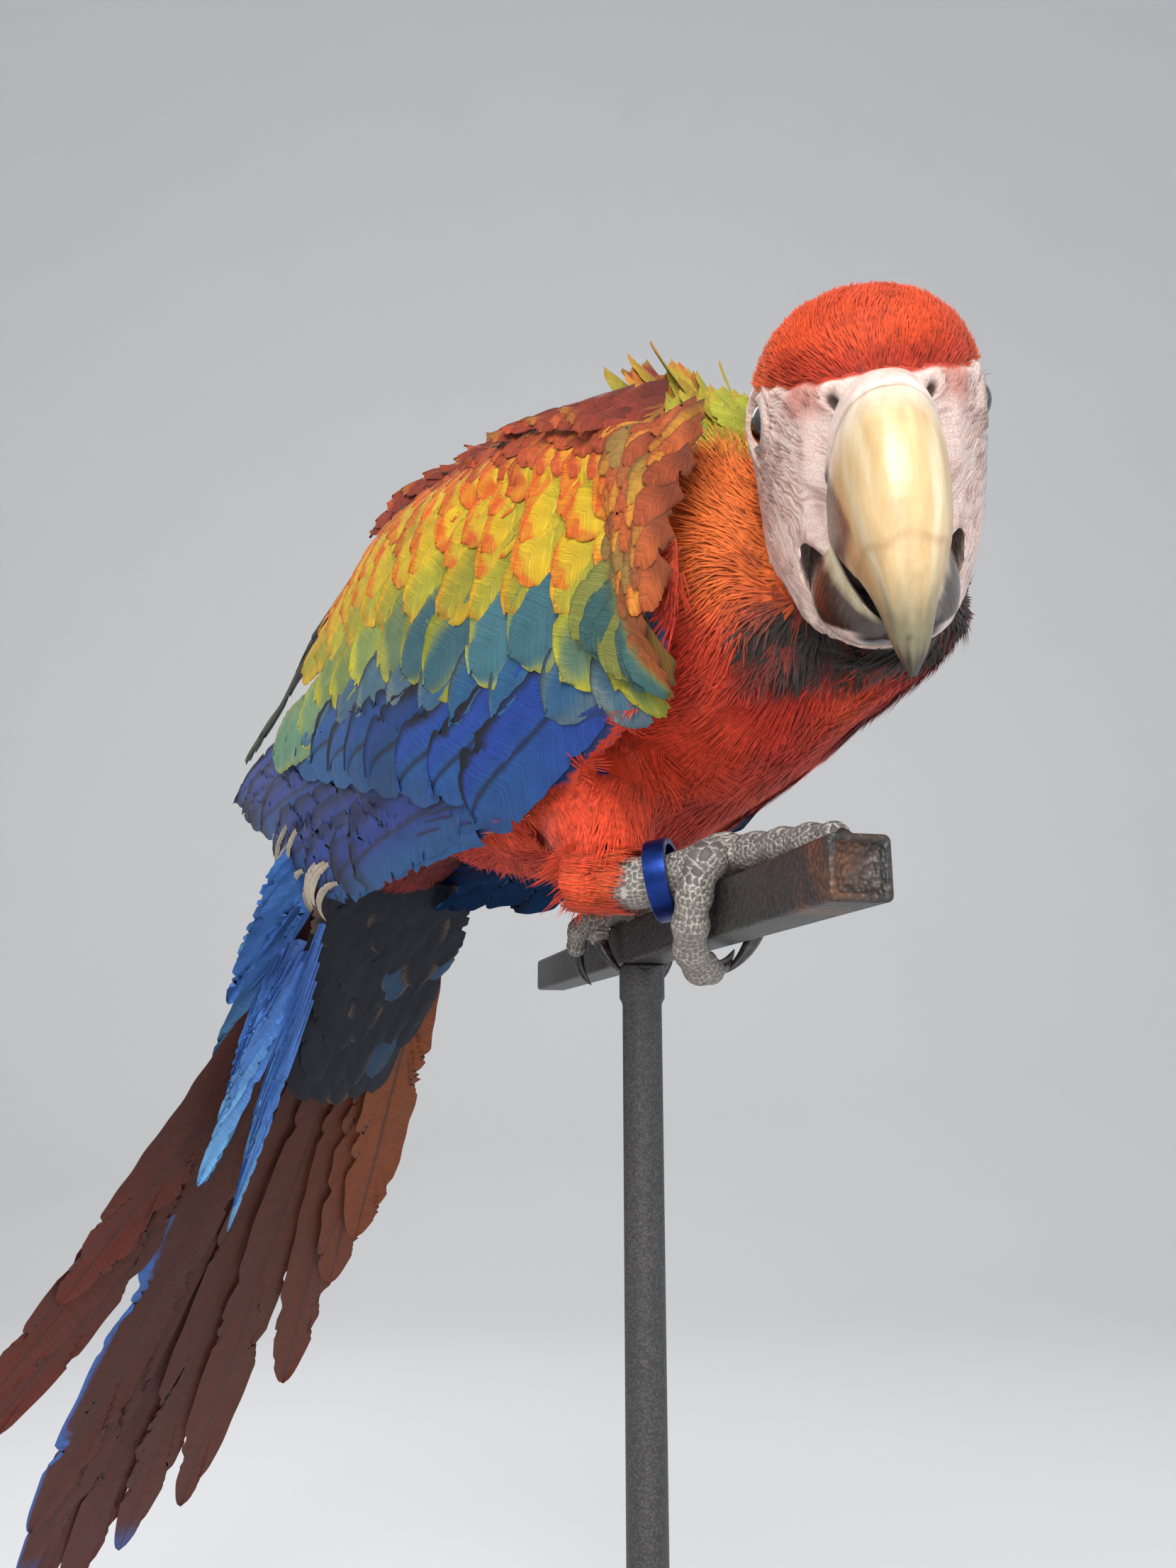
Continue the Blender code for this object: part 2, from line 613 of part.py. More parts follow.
def build_tail(collection, looks):
    """Twelve stacked tail feathers, the middle pair on top, between two sets of coverts."""
    top = TAIL_LAYER * 6.4
    for i, (right, left) in enumerate(zip(RIGHT_TIPS, LEFT_TIPS)):
        height = top - 2 * i * TAIL_LAYER
        right_root = RIGHT_ROOTS[0] - RIGHT_ROOTS[1] * i
        left_root = LEFT_ROOTS[0] + LEFT_ROOTS[1] * i
        tail_feather("tail_right_%d" % (i + 1), right, right_root, RIGHT_BEND, height,
                     collection, looks["tail"])
        tail_feather("tail_left_%d" % (i + 1), left, left_root, LEFT_BEND, height - TAIL_LAYER,
                     collection, looks["tail"])
    covers = (("tail_coverts", UPPER_COVERTS, "azure"), ("undertail_coverts", LOWER_COVERTS, "dark"))
    for name, stations, look in covers:
        rings = []
        for along, half, low, high in smooth_path(stations, 9):
            middle = (low + high) / 2
            ring = [(-half, middle - 0.3), (-half * 0.7, low), (half * 0.7, low), (half, middle - 0.3)]
            ring += [(half, middle + 0.3), (half * 0.7, high), (-half * 0.7, high), (-half, middle + 0.3)]
            shift = TRUNK_STATIONS[0][0] * (1 - along / stations[-1][0])
            rings.append([tail_point(along + GAP, across + shift, height) for across, height in ring])
        loft(name, rings, collection, looks[look])


def build_claw(name, toe, collection, look):
    """A curved claw that carries on from the last stretch of a toe and turns down and in."""
    before = from_bar(*toe[-2][:3])
    end = from_bar(*toe[-1][:3])
    ahead = (end - before).normalized()
    inward = Vector((0.0, 0.0, -1.0))
    over_edge = toe[-1][2] < BAR_TOP
    if over_edge:
        inward = (from_bar(toe[-1][0], 0.0, toe[-1][2]) - end).normalized()
        if toe[-1][2] < BAR_TOP - BAR_SIDE:
            inward = Vector((0.0, 0.0, 1.0))
    turn = (inward - ahead * inward.dot(ahead)).normalized()
    path = []
    point = end + ahead * GAP * 1.4
    steps = 3
    for i in range(steps + 1):
        share = i / steps
        radius = CLAW_RADIUS * (1 - share) ** 0.8 + 0.35
        path.append((*point, radius))
        angle = CLAW_CURL * (share + 0.5 / steps) * 0.7
        point = point + (ahead * math.cos(angle) + turn * math.sin(angle)) * (CLAW_LENGTH / steps)
    return tube(name, path, 6, collection, look)


def build_leg(word, thigh, foot, collection, cutters, looks, body_cutters, bar_cutter):
    """A feathered thigh, a scaled foot of one piece and four claws."""
    upper = tube("thigh_" + word, smooth_path(thigh, 6), 12, collection, looks["thigh"])
    for cutter in body_cutters:
        combine(upper, cutter, "DIFFERENCE")
    pieces = []
    for piece, stations in foot.items():
        points = [(*from_bar(*station[:3]), station[3]) for station in stations]
        where = collection if piece == "tarsus" else cutters
        name = "foot_" + word if piece == "tarsus" else "%s_%s" % (piece, word)
        pieces.append(tube(name, smooth_path(points, 2 * len(points) - 1), 7, where, looks["scales"]))
        if piece != "tarsus":
            pieces[-1].hide_render = True
            pieces[-1].display_type = "WIRE"
            build_claw("claw_%s_%s" % (word, piece[-1]), stations, collection, looks["claw"])
    for toe in pieces[1:]:
        combine(pieces[0], toe, "UNION")
    combine(pieces[0], bar_cutter, "DIFFERENCE")
    combine(pieces[0], grown(upper, GAP, cutters), "DIFFERENCE")


def build_ring(collection, look):
    """The band on the right leg, as a turned tube."""
    bm = bmesh.new()
    sides = 20
    half = RING_WIDTH / 2
    profile = ((RING_INNER, -half), (RING_OUTER, -half), (RING_OUTER, half), (RING_INNER, half))
    angles = [2 * math.pi * i / sides for i in range(sides)]
    rows = []
    for radius, height in profile:
        ring = [Vector((radius * math.cos(a), radius * math.sin(a), height)) for a in angles]
        rows.append([bm.verts.new(point * MM) for point in ring])
    for first, second in zip(rows, rows[1:] + rows[:1]):
        for i in range(sides):
            j = (i + 1) % sides
            bm.faces.new((first[i], first[j], second[j], second[i]))
    ring = finish_mesh("leg_ring", bm, collection, look)
    ring.rotation_euler = from_bar(*RING_AXIS).to_track_quat("Z", "Y").to_euler()
    ring.location = placed(from_bar(*RING_AT))
    return ring


def box(name, size, collection, look):
    """A box of given size about its own middle."""
    bm = bmesh.new()
    bmesh.ops.create_cube(bm, size=1.0)
    bmesh.ops.scale(bm, vec=Vector(size) * MM, verts=bm.verts)
    return finish_mesh(name, bm, collection, look)


def build_bar(name, side, length_more, collection, look):
    """The perch: a square bar under the feet."""
    size = (side, BAR_AHEAD + BAR_BEHIND + length_more, side)
    bar = box(name, size, collection, look)
    middle = (BAR_AHEAD - BAR_BEHIND) / 2
    bar.location = placed(from_bar(middle, 0.0, BAR_TOP - BAR_SIDE / 2))
    bar.rotation_euler = (0.0, 0.0, -BAR_YAW)
    return bar


def build_stand(collection, look):
    """A flat base and one rod up to the underside of the bar."""
    base = box("stand_base", BASE_SIZE, collection, look)
    base.location = (0.0, 0.0, BASE_SIZE[2] / 2 * MM)
    low = BASE_SIZE[2] + GAP
    high = FEET_HEIGHT + BAR_TOP - BAR_SIDE - GAP
    bm = bmesh.new()
    bmesh.ops.create_cone(bm, cap_ends=True, segments=24, radius1=ROD_RADIUS * MM,
                          radius2=ROD_RADIUS * MM, depth=(high - low) * MM)
    rod = finish_mesh("stand_rod", bm, collection, look)
    foot = placed(from_bar(ROD_AT, 0.0, 0.0))
    rod.location = (foot.x, foot.y, (low + high) / 2 * MM)
    return base, rod


def main():
    """Build every piece."""
    clear_scene()
    bird = new_collection("scarlet_macaw")
    cutters = new_collection("cutters", hidden=True)
    red = material("red_feathers", (0.60, 0.05, 0.02), 0.7)
    looks = {
        "coverts": material("yellow_coverts", (0.75, 0.50, 0.03), 0.6),
        "secondaries": material("blue_secondaries", (0.02, 0.10, 0.42), 0.5),
        "primaries": material("violet_blue_primaries", (0.03, 0.06, 0.32), 0.5),
        "tail": material("maroon_tail", (0.22, 0.03, 0.02), 0.55),
        "azure": material("azure_coverts", (0.10, 0.28, 0.62), 0.55),
        "dark": material("dark_undertail", (0.03, 0.04, 0.08), 0.6),
        "thigh": material("thigh_feathers", (0.65, 0.07, 0.02), 0.7),
        "scales": material("grey_scales", (0.22, 0.20, 0.18), 0.6),
        "claw": material("black_claw", (0.02, 0.02, 0.02), 0.35),
    }
    steel = material("stand_steel", (0.05, 0.05, 0.055), 0.5)
    head = build_head(bird, material("head_feathers", (0.65, 0.05, 0.02), 0.7))
    head_cutters = [grown(head, GAP, cutters)]
    upper = build_beak_upper(bird, material("ivory_horn", (0.70, 0.55, 0.34), 0.35))
    lower = build_beak_lower(bird, material("brown_horn", (0.04, 0.03, 0.025), 0.25))
    head_cutters += [grown(upper, GAP, cutters), grown(lower, GAP, cutters)]
    for cutter in head_cutters[1:]:
        combine(head, cutter, "DIFFERENCE")
    iris = material("dark_eye", (0.02, 0.018, 0.015), 0.1)
    for word, side in (("right", -1), ("left", 1)):
        eye = build_eye("eye_" + word, side, bird, iris)
        combine(head, grown(eye, GAP, cutters), "DIFFERENCE")
    trunk = build_trunk(bird, cutters, red)
    neck = build_neck(bird, cutters, material("neck_feathers", (0.62, 0.08, 0.02), 0.7), head_cutters)
    build_tail(bird, looks)
    bar_look = material("powder_coat", (0.06, 0.055, 0.05), 0.6, 0.3)
    build_bar("perch_bar", BAR_SIDE, 0.0, bird, bar_look)
    bar_cutter = build_bar("perch_bar_cutter", BAR_SIDE + 2 * GAP, 4 * GAP, cutters, bar_look)
    bar_cutter.display_type = "WIRE"
    bar_cutter.hide_render = True
    body = [grown(trunk, GAP, cutters), grown(neck, GAP, cutters)]
    sides = (("right", -1, RIGHT_THIGH, RIGHT_FOOT), ("left", 1, LEFT_THIGH, LEFT_FOOT))
    for word, side, thigh, foot in sides:
        flight = build_wing(word, side, bird, looks)
        build_leg(word, thigh, foot, bird, cutters, looks, [*body, grown(flight, GAP, cutters)], bar_cutter)
    build_ring(bird, material("blue_anodised", (0.02, 0.06, 0.25), 0.3, 0.9))
    build_stand(bird, steel)


main()
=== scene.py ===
"""A scarlet macaw on a short bar: skin, feathers, horn, scales, ring, perch, stand and studio.

Lengths are millimetres in the bird's frame until a mesh is made: zero lies between the feet,
+X is the bird's left, -Y lies ahead of it and +Z is up. BIRD_AT is that zero in the frame.
"""
import math

import bmesh
import bpy
import numpy as np
from mathutils import Euler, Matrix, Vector
from mathutils.bvhtree import BVHTree
from mathutils.kdtree import KDTree


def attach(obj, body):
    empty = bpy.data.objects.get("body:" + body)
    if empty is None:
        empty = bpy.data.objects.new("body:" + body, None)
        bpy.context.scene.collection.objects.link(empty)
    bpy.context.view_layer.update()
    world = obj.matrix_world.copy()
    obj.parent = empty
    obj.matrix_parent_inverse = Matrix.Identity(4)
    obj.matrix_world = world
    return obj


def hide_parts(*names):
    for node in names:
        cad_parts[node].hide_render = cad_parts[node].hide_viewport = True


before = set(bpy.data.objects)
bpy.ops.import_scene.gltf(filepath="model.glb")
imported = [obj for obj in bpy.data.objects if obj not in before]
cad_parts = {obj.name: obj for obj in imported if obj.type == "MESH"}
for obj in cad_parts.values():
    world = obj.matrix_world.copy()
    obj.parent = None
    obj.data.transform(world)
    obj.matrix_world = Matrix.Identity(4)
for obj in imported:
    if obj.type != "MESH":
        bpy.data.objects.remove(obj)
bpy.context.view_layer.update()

MM = 0.001
BIRD_AT = np.array((0.002, -0.036, 0.4))

# Head frame, as in the solids: zero midway between the eyes, -Y to the beak, +Z to the crown
HEAD_AT = np.array((-24.3, -102.3, 108.1))
HEAD_TURN = np.array(Euler((math.radians(34.4), math.radians(-3.3), math.radians(-46.8)), "YXZ").to_matrix())
EYE_OUT = 21.2
EYE_RADIUS = 6.6
EYE_AHEAD = 4.6
NOSTRIL_OUT, NOSTRIL_UP = 10.8, 5.2

# The surface under the folded wing, as in the solids. Along Y: half width, middle height,
# reach above and below that
WING_SURFACE = np.array((
    (-68.0, 49.0, 84.0, 54.0, 90.0), (-50.0, 53.0, 86.0, 60.0, 95.0), (-25.0, 55.0, 87.0, 62.0, 100.0),
    (0.0, 56.5, 87.0, 66.0, 105.0), (40.0, 56.0, 86.0, 70.0, 105.0), (80.0, 53.0, 80.0, 81.0, 95.0),
    (120.0, 47.0, 74.0, 83.0, 80.0), (160.0, 41.0, 70.0, 73.0, 66.0), (200.0, 33.0, 68.0, 52.0, 52.0),
    (240.0, 25.0, 68.0, 42.0, 40.0), (275.0, 19.0, 70.0, 34.0, 34.0)))
# Along Y: the wing's lower edge, its upper edge, and the height of its feathers over that surface
WING_EDGES = np.array((
    (-67.0, 60.0, 80.0, 4.5), (-60.0, 47.0, 98.0, 7.0), (-41.0, 35.0, 114.0, 9.5), (-21.0, 27.0, 122.0, 10.0),
    (23.0, 17.0, 134.0, 9.0), (76.0, 27.0, 150.0, 7.5), (113.0, 27.0, 149.0, 6.2), (150.0, 27.0, 136.0, 5.2),
    (188.0, 28.0, 114.0, 4.2), (214.0, 40.0, 106.0, 3.6), (240.0, 55.0, 95.0, 3.0), (272.0, 72.0, 80.0, 2.6)))
ROUNDNESS = 2.2
# The left wing is held this much further forward, and its front lower corner this much higher
LEFT_BACK = 10.0
LEFT_LIFT = 40.0
# Feathers ahead of this line are pressed back toward it
WING_FRONT = -54.0
FRONT_SQUEEZE = 0.45

# Cells of the remeshed skin and feet, and rounds of smoothing
SKIN_CELL, SKIN_ROUNDS, SKIN_GROW = 1.7, 9, 0.35
FOOT_CELL, FOOT_ROUNDS = 0.42, 10
# How far the skin lies inside the solids: body, head, bare face and under the wing
BODY_DEPTH, HEAD_DEPTH, FACE_DEPTH, UNDER_WING_DEPTH = 2.6, 1.2, 0.3, 0.4
WING_ARM_END = 105.0
PIECE_LIMIT = 190000
UV_PATCH = 0.0015
HEAD_MIDDLE = (0, 2, -10)


# ---------------------------------------------------------------- shared helpers

def ramp(low, high, value):
    """0 below low, 1 above high, smooth between."""
    t = np.clip((np.asarray(value, float) - low) / (high - low), 0.0, 1.0)
    return t * t * (3 - 2 * t)


def mix(a, b, share):
    """Blend two colours or arrays by a share with one value per row."""
    share = np.asarray(share, float)[..., None]
    return np.asarray(a, float) * (1 - share) + np.asarray(b, float) * share


def layered(tint, *coats):
    """Blend coats of (colour, share) over a colour, one after another."""
    for colour, share in coats:
        tint = mix(tint, colour, share)
    return tint


def lookup(table, at):
    """Values of a table's columns along its first column."""
    return [np.interp(at, table[:, 0], table[:, i]) for i in range(1, table.shape[1])]


def unit(vectors):
    """Vectors scaled to length one."""
    return vectors / np.maximum(np.linalg.norm(vectors, axis=-1, keepdims=True), 1e-9)


def lumps(points, size, seed=0):
    """Smooth noise from -1 to 1 over points, from a few turned waves."""
    rng = np.random.default_rng(seed)
    total = np.zeros(len(points))
    for _ in range(7):
        wave = unit(rng.normal(size=3)) * 2 * math.pi / size * rng.uniform(0.6, 1.5)
        total += np.sin(points @ wave + rng.uniform(0, 2 * math.pi))
    return total / 3.2


def to_head(points):
    """Points of the bird's frame in the head's frame."""
    return (points - HEAD_AT) @ HEAD_TURN


def from_head(points):
    """Points of the head's frame in the bird's frame."""
    return np.asarray(points, float) @ HEAD_TURN.T + HEAD_AT


def to_frame(points):
    """Bird's millimetres to the frame's metres."""
    return np.asarray(points, float) * MM + BIRD_AT


def to_bird(points):
    """The frame's metres to the bird's millimetres."""
    return (np.asarray(points, float) - BIRD_AT) / MM


def distance(points, middle):
    """How far points lie from one place."""
    return np.linalg.norm(points - np.array(middle), axis=1)


def along_skin(lies, normals):
    """Directions laid flat on the skin."""
    return unit(lies - normals * (lies * normals).sum(axis=1, keepdims=True))


def kd_tree(points):
    """A tree that finds the nearest of some points."""
    tree = KDTree(len(points))
    for i, point in enumerate(points):
        tree.insert(point, i)
    tree.balance()
    return tree


def halved(quads):
    """Each quad as two triangles."""
    return np.concatenate((quads[:, [0, 1, 2]], quads[:, [0, 2, 3]]))


def arcs(corners, radius, steps):
    """Quarter turns round corners given as (x, y, start in degrees)."""
    return np.array([(x + radius * math.cos(a), y + radius * math.sin(a)) for x, y, start in corners
                     for a in np.radians(np.linspace(start, start + 90, steps))])


def read(elements, key, width, kind=float):
    """One property of a mesh's elements, as rows of an array."""
    values = np.empty(len(elements) * width, kind)
    elements.foreach_get(key, values)
    return values.reshape(-1, width)


def node_arrays(name):
    """A CAD node's corners, in the bird's millimetres, and its triangles."""
    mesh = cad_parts[name].data
    mesh.calc_loop_triangles()
    return to_bird(read(mesh.vertices, "co", 3)), read(mesh.loop_triangles, "vertices", 3, np.int32)


def make_mesh(name, points, faces, tints=None, uv=None, extra_uv=None):
    """A smooth mesh object from arrays, with a colour for each corner point."""
    mesh = bpy.data.meshes.new(name)
    count, sides = faces.shape
    mesh.vertices.add(len(points))
    mesh.vertices.foreach_set("co", to_frame(points).astype(np.float32).ravel())
    mesh.loops.add(count * sides)
    mesh.loops.foreach_set("vertex_index", faces.astype(np.int32).ravel())
    mesh.polygons.add(count)
    mesh.polygons.foreach_set("loop_start", np.arange(0, count * sides, sides, dtype=np.int32))
    mesh.polygons.foreach_set("loop_total", np.full(count, sides, dtype=np.int32))
    mesh.update(calc_edges=True)
    mesh.shade_smooth()
    if tints is not None:
        paint = mesh.color_attributes.new("tint", "FLOAT_COLOR", "POINT")
        rgba = np.ones((len(points), 4), dtype=np.float32)
        rgba[:, :3] = np.clip(tints, 0.0, 1.0)
        paint.data.foreach_set("color", rgba.ravel())
    for layer_name, values in (("OFBake", uv), ("vane", extra_uv)):
        if values is not None:
            layer = mesh.uv_layers.new(name=layer_name)
            layer.data.foreach_set("uv", values[faces.ravel()].astype(np.float32).ravel())
    return add_object(name, mesh)


def remeshed(pieces, voxel, rounds, grow=0.0):
    """Closed meshes joined into one smooth skin; returns its points and quads."""
    points = []
    faces = []
    start = 0
    for corners, triangles in pieces:
        points.append(corners + grow * point_normals(corners, triangles))
        faces.append(triangles + start)
        start += len(corners)
    work = make_mesh("work", np.concatenate(points), np.concatenate(faces))
    cells = work.modifiers.new("cells", "REMESH")
    cells.mode = "VOXEL"
    cells.voxel_size = voxel * MM
    even = work.modifiers.new("even", "SMOOTH")
    even.factor = 0.5
    even.iterations = rounds
    bpy.context.view_layer.update()
    baked = work.evaluated_get(bpy.context.evaluated_depsgraph_get()).to_mesh()
    corners = to_bird(read(baked.vertices, "co", 3))
    quads = read(baked.loops, "vertex_index", 1, np.int32).reshape(-1, 4)
    bpy.data.objects.remove(work, do_unlink=True)
    return largest_part(corners, quads)


def largest_part(points, faces):
    """Only the biggest connected part of a mesh."""
    label = np.arange(len(points))
    while True:
        lowest = label[faces].min(axis=1)
        before = label.copy()
        for i in range(faces.shape[1]):
            np.minimum.at(label, faces[:, i], lowest)
        label = label[label]
        if (label == before).all():
            break
    names, counts = np.unique(label[faces[:, 0]], return_counts=True)
    keep = label == names[counts.argmax()]
    index = np.cumsum(keep) - 1
    return points[keep], index[faces[keep[faces[:, 0]]]]


def point_normals(points, faces):
    """Smooth normals of a mesh."""
    a, b, c = points[faces[:, 0]], points[faces[:, 1]], points[faces[:, 2]]
    face = np.cross(b - a, c - a)
    if faces.shape[1] == 4:
        d = points[faces[:, 3]]
        face = np.cross(c - a, d - b)
    total = np.zeros_like(points)
    for i in range(faces.shape[1]):
        np.add.at(total, faces[:, i], face)
    return unit(total)


# ---------------------------------------------------------------- body markings

CROWN_RED = (0.66, 0.066, 0.012)
DEEP_RED = (0.36, 0.016, 0.010)
BREAST_RED = (0.50, 0.030, 0.014)
ORANGE = (0.70, 0.155, 0.022)
THIGH_RED = (0.66, 0.060, 0.020)
MAROON = (0.19, 0.022, 0.010)
LIME = (0.42, 0.40, 0.035)
RUMP_BLUE = (0.10, 0.27, 0.50)
# Painted shade under the lower beak: a near-black grey laid on the throat feathers
CHIN_SHADE = (0.028, 0.024, 0.022)
FACE_WHITE = (0.76, 0.63, 0.58)
FACE_BACK = np.array(((-48.0, -17.0), (-42.0, -13.0), (-36.0, -8.5), (-25.0, 0.0), (-15.0, 7.5),
                      (-5.0, 11.0), (3.0, 10.5), (8.5, 6.0)))


def face_share(head):
    """1 on the bare face and 0 in the feathers, from places in the head's frame."""
    return ramp(-0.6, 0.6, face_margin(head))


def face_margin(head):
    """Rough distance from the edge of the bare face, positive inside it."""
    x, y, z = head.T
    wander = 0.7 * lumps(head, 9.0, 3)
    back = np.interp(z, FACE_BACK[:, 0], FACE_BACK[:, 1])
    inside = np.minimum(back + wander - y, 8.9 + wander + 0.10 * np.clip(-y - 20, 0, 12) - z)
    inside = np.minimum(inside, z + 48.2 - 0.06 * (y + 12))
    inside = np.minimum(inside, 34.0 - np.abs(x))
    return np.where(y < 18, inside, -5.0)


def face_lines(head):
    """The folds of the bare face, 0 in a crease and 1 on a ridge, and how deep they are."""
    x, y, z = head.T
    lean = 0.45 + 0.55 * ramp(-12, -34, z) - 0.9 * ramp(-20, -38, y) * ramp(-34, -42, z)
    across = z - lean * y + 1.3 * lumps(head, 13.0, 11) + 0.35 * lumps(head, 4.0, 13)
    broad = 1 - np.abs(np.sin(across * math.pi / 3.1)) ** 0.7
    narrow = 0.5 + 0.5 * np.cos(across * 2 * math.pi / 1.15 + 1.2 * lumps(head, 6.0, 14))
    broken = ramp(-0.5, 0.5, lumps(head, 7.0, 15))
    depth = (0.35 + 0.65 * broken) * ramp(5, 11, np.abs(x))
    return 0.45 * broad + 0.55 * narrow, depth


def face_tints(head, fine):
    """White skin, flushed at the lore, grey round the eye, with darker folds, and painted shade in the nostrils
    and where the skin tucks under the beak.
    """
    x, y, z = head.T
    ridge, depth = face_lines(head)
    skin = layered(
        FACE_WHITE,
        ((0.62, 0.40, 0.36), ramp(0.2, 1.3, fine) * 0.45),
        ((0.36, 0.20, 0.17), ramp(0.55, 0.15, ridge) * depth * 0.55),
        ((0.48, 0.14, 0.10), ramp(8, 2, np.hypot(y + 23, z - 7)) * ramp(11, 15, np.abs(x)) * 0.7),
        ((0.78, 0.70, 0.64), ramp(-26, -34, z) * ridge * 0.8))
    # Painted shade: the nostril holes laid down near black
    hole = np.hypot((np.abs(x) - NOSTRIL_OUT) / 1.3, (z - NOSTRIL_UP) / 1.9) + ramp(-24, -20, y) * 9
    skin = mix(skin, (0.05, 0.025, 0.02), ramp(1.5, 0.7, hole))
    lid = np.hypot(y + EYE_AHEAD, z) + ramp(12, 6, np.abs(x)) * 20
    skin = layered(
        skin,
        ((0.30, 0.28, 0.27), ramp(7.6, 6.6, lid) * 0.9),
        ((0.10, 0.085, 0.08), ramp(5.6, 5.1, lid)),
        # Painted shade: near black where the skin tucks in under the horn
        ((0.035, 0.02, 0.018), ramp(0.2, 1.2, gape_edge(head))))
    return skin


def body_tints(points, normals):
    """The markings of the skin and of the tufts on it."""
    head = to_head(points)
    x, y, z = points.T
    blotch = lumps(points, 38.0, 5)
    fine = lumps(points, 9.0, 6)
    tint = np.tile(np.array(BREAST_RED), (len(points), 1))
    tint = layered(
        tint,
        ((0.58, 0.055, 0.018), ramp(-0.2, 0.9, blotch)),
        ((0.33, 0.016, 0.010), ramp(0.3, 1.3, -fine - 0.3 * blotch) * 0.6))
    near_head = ramp(66, 40, distance(head, (0, 14, -16)))
    side = ramp(4, 22, np.abs(head[:, 0]))
    tint = mix(tint, ORANGE, near_head * side * ramp(-52, -32, head[:, 2]) * 0.85)
    back = ramp(104, 124, z + 0.25 * np.clip(y, -60, 200)) * ramp(-66, -48, y)
    back = back * ramp(0.05, 0.45, normals[:, 2])
    tint = mix(tint, MAROON, back * 0.85)
    rump = ramp(62, 92, y) * ramp(20, 45, z) * ramp(0.1, 0.5, normals[:, 2])
    tint = mix(tint, RUMP_BLUE, rump)
    nape = ramp(19, 26, head[:, 1]) * ramp(-24, -12, head[:, 2]) * ramp(50, 38, head[:, 1])
    tint = mix(tint, LIME, np.clip(nape * (0.75 + 0.5 * fine), 0, 1) * ramp(8, 18, np.abs(head[:, 0])))
    leg = ramp(52, 34, z) * ramp(10, 20, np.abs(x)) * ramp(60, 46, y)
    tint = mix(tint, THIGH_RED, leg)
    vent = ramp(70, 110, y) * ramp(64, 44, z)
    tint = mix(tint, (0.20, 0.012, 0.010), vent)
    crown = ramp(6, 11, head[:, 2]) * ramp(36, 26, head[:, 1]) * ramp(60, 50, np.abs(head[:, 0]))
    crown_tint = layered(
        CROWN_RED,
        ((0.66, 0.10, 0.020), ramp(16, 27, np.abs(head[:, 0]))),
        (DEEP_RED, ramp(16, 9, head[:, 2]) * ramp(-6, -16, head[:, 1]) * 0.75))
    tint = mix(tint, crown_tint, crown)
    # Painted shade under the lower beak, on the throat feathers
    below = ramp(-40, -45, head[:, 2]) * ramp(-15, -10, face_margin(head)) * ramp(15, 7, head[:, 1])
    below = below * ramp(37, 30, distance(head, (0, -16, -46)))
    tint = mix(tint, CHIN_SHADE, np.clip(below * (1.1 + 0.5 * fine), 0, 1))
    inside, near = wing_cover(points, 7.0)
    low, top, _ = lookup(WING_EDGES, y)
    share = np.clip((z - low) / (top - low), 0, 1)
    under = np.stack([np.interp(share, (0.1, 0.35, 0.5, 0.75, 0.9), row)
                      for row in ((0.008, 0.02, 0.16, 0.30, 0.16), (0.035, 0.08, 0.15, 0.09, 0.018),
                                  (0.16, 0.14, 0.02, 0.012, 0.009))], axis=1)
    tint = mix(tint, under, (inside & near & (np.sign(x) * normals[:, 0] > 0.1)) * 1.0)
    bare = face_share(head)
    skin = face_tints(head, fine)
    return mix(tint, skin, bare)


# ---------------------------------------------------------------- skin

def build_skin():
    """One skin for head, neck, trunk, thighs and the arms of the wings."""
    pieces = [node_arrays(name) for name in ("head", "neck", "trunk", "thigh_right", "thigh_left")]
    for side in ("right", "left"):
        for part in ("wing_", "wing_%s_secondaries"):
            name = part + side if part.endswith("_") else part % side
            corners, triangles = node_arrays(name)
            corners = corners.copy()
            corners[:, 1] = np.minimum(corners[:, 1], WING_ARM_END)
            pieces.append((corners, triangles))
    points, quads = remeshed(pieces, SKIN_CELL, SKIN_ROUNDS, SKIN_GROW)
    normals = point_normals(points, quads)
    head = to_head(points)
    bare = face_share(head)
    on_head = ramp(52, 40, distance(head, HEAD_MIDDLE))
    depth = BODY_DEPTH - (BODY_DEPTH - HEAD_DEPTH) * on_head
    depth = depth * (1 - bare) + FACE_DEPTH * bare
    over_wing, inner = wing_cover(points, 6.0)
    inner = inner & (np.sign(points[:, 0]) * normals[:, 0] < 0)
    depth = np.where(inner & over_wing, UNDER_WING_DEPTH, depth)
    points = points - normals * depth[:, None]
    normals = point_normals(points, quads)
    fine_points, fine_faces = finer_where(points, quads, ramp(-2.4, 0.0, face_margin(to_head(points))) > 0.5)
    fine_normals = point_normals(fine_points, fine_faces)
    tints = body_tints(fine_points, fine_normals)
    fine_points = face_relief(fine_points, fine_normals, fine_faces)
    skin = make_mesh("skin", fine_points, fine_faces, tints, unwrap(fine_points))
    return skin, points, normals, quads


def left_lift(y, z):
    """How much higher the left wing's front lower corner is held than the right one's."""
    return LEFT_LIFT * np.clip((40.0 - y) / 100.0, 0, 1) * np.clip((90.0 - z) / 60.0, 0, 1)


def wing_cover(points, under):
    """Which points lie within the outline of a folded wing, and which of them near its surface."""
    x, y, z = points.T
    behind = np.where(x > 0, LEFT_BACK, 0.0)
    lift = left_lift(y, z) * (x > 0)
    low, top, _ = lookup(WING_EDGES, y - behind)
    inside = (y > -60) & (z > low + lift + 1) & (z < top + 5)
    surface = np.abs(wing_point(-1, y, z, 0.0)[:, 0])
    return inside, inside & (np.abs(x) > surface - under)


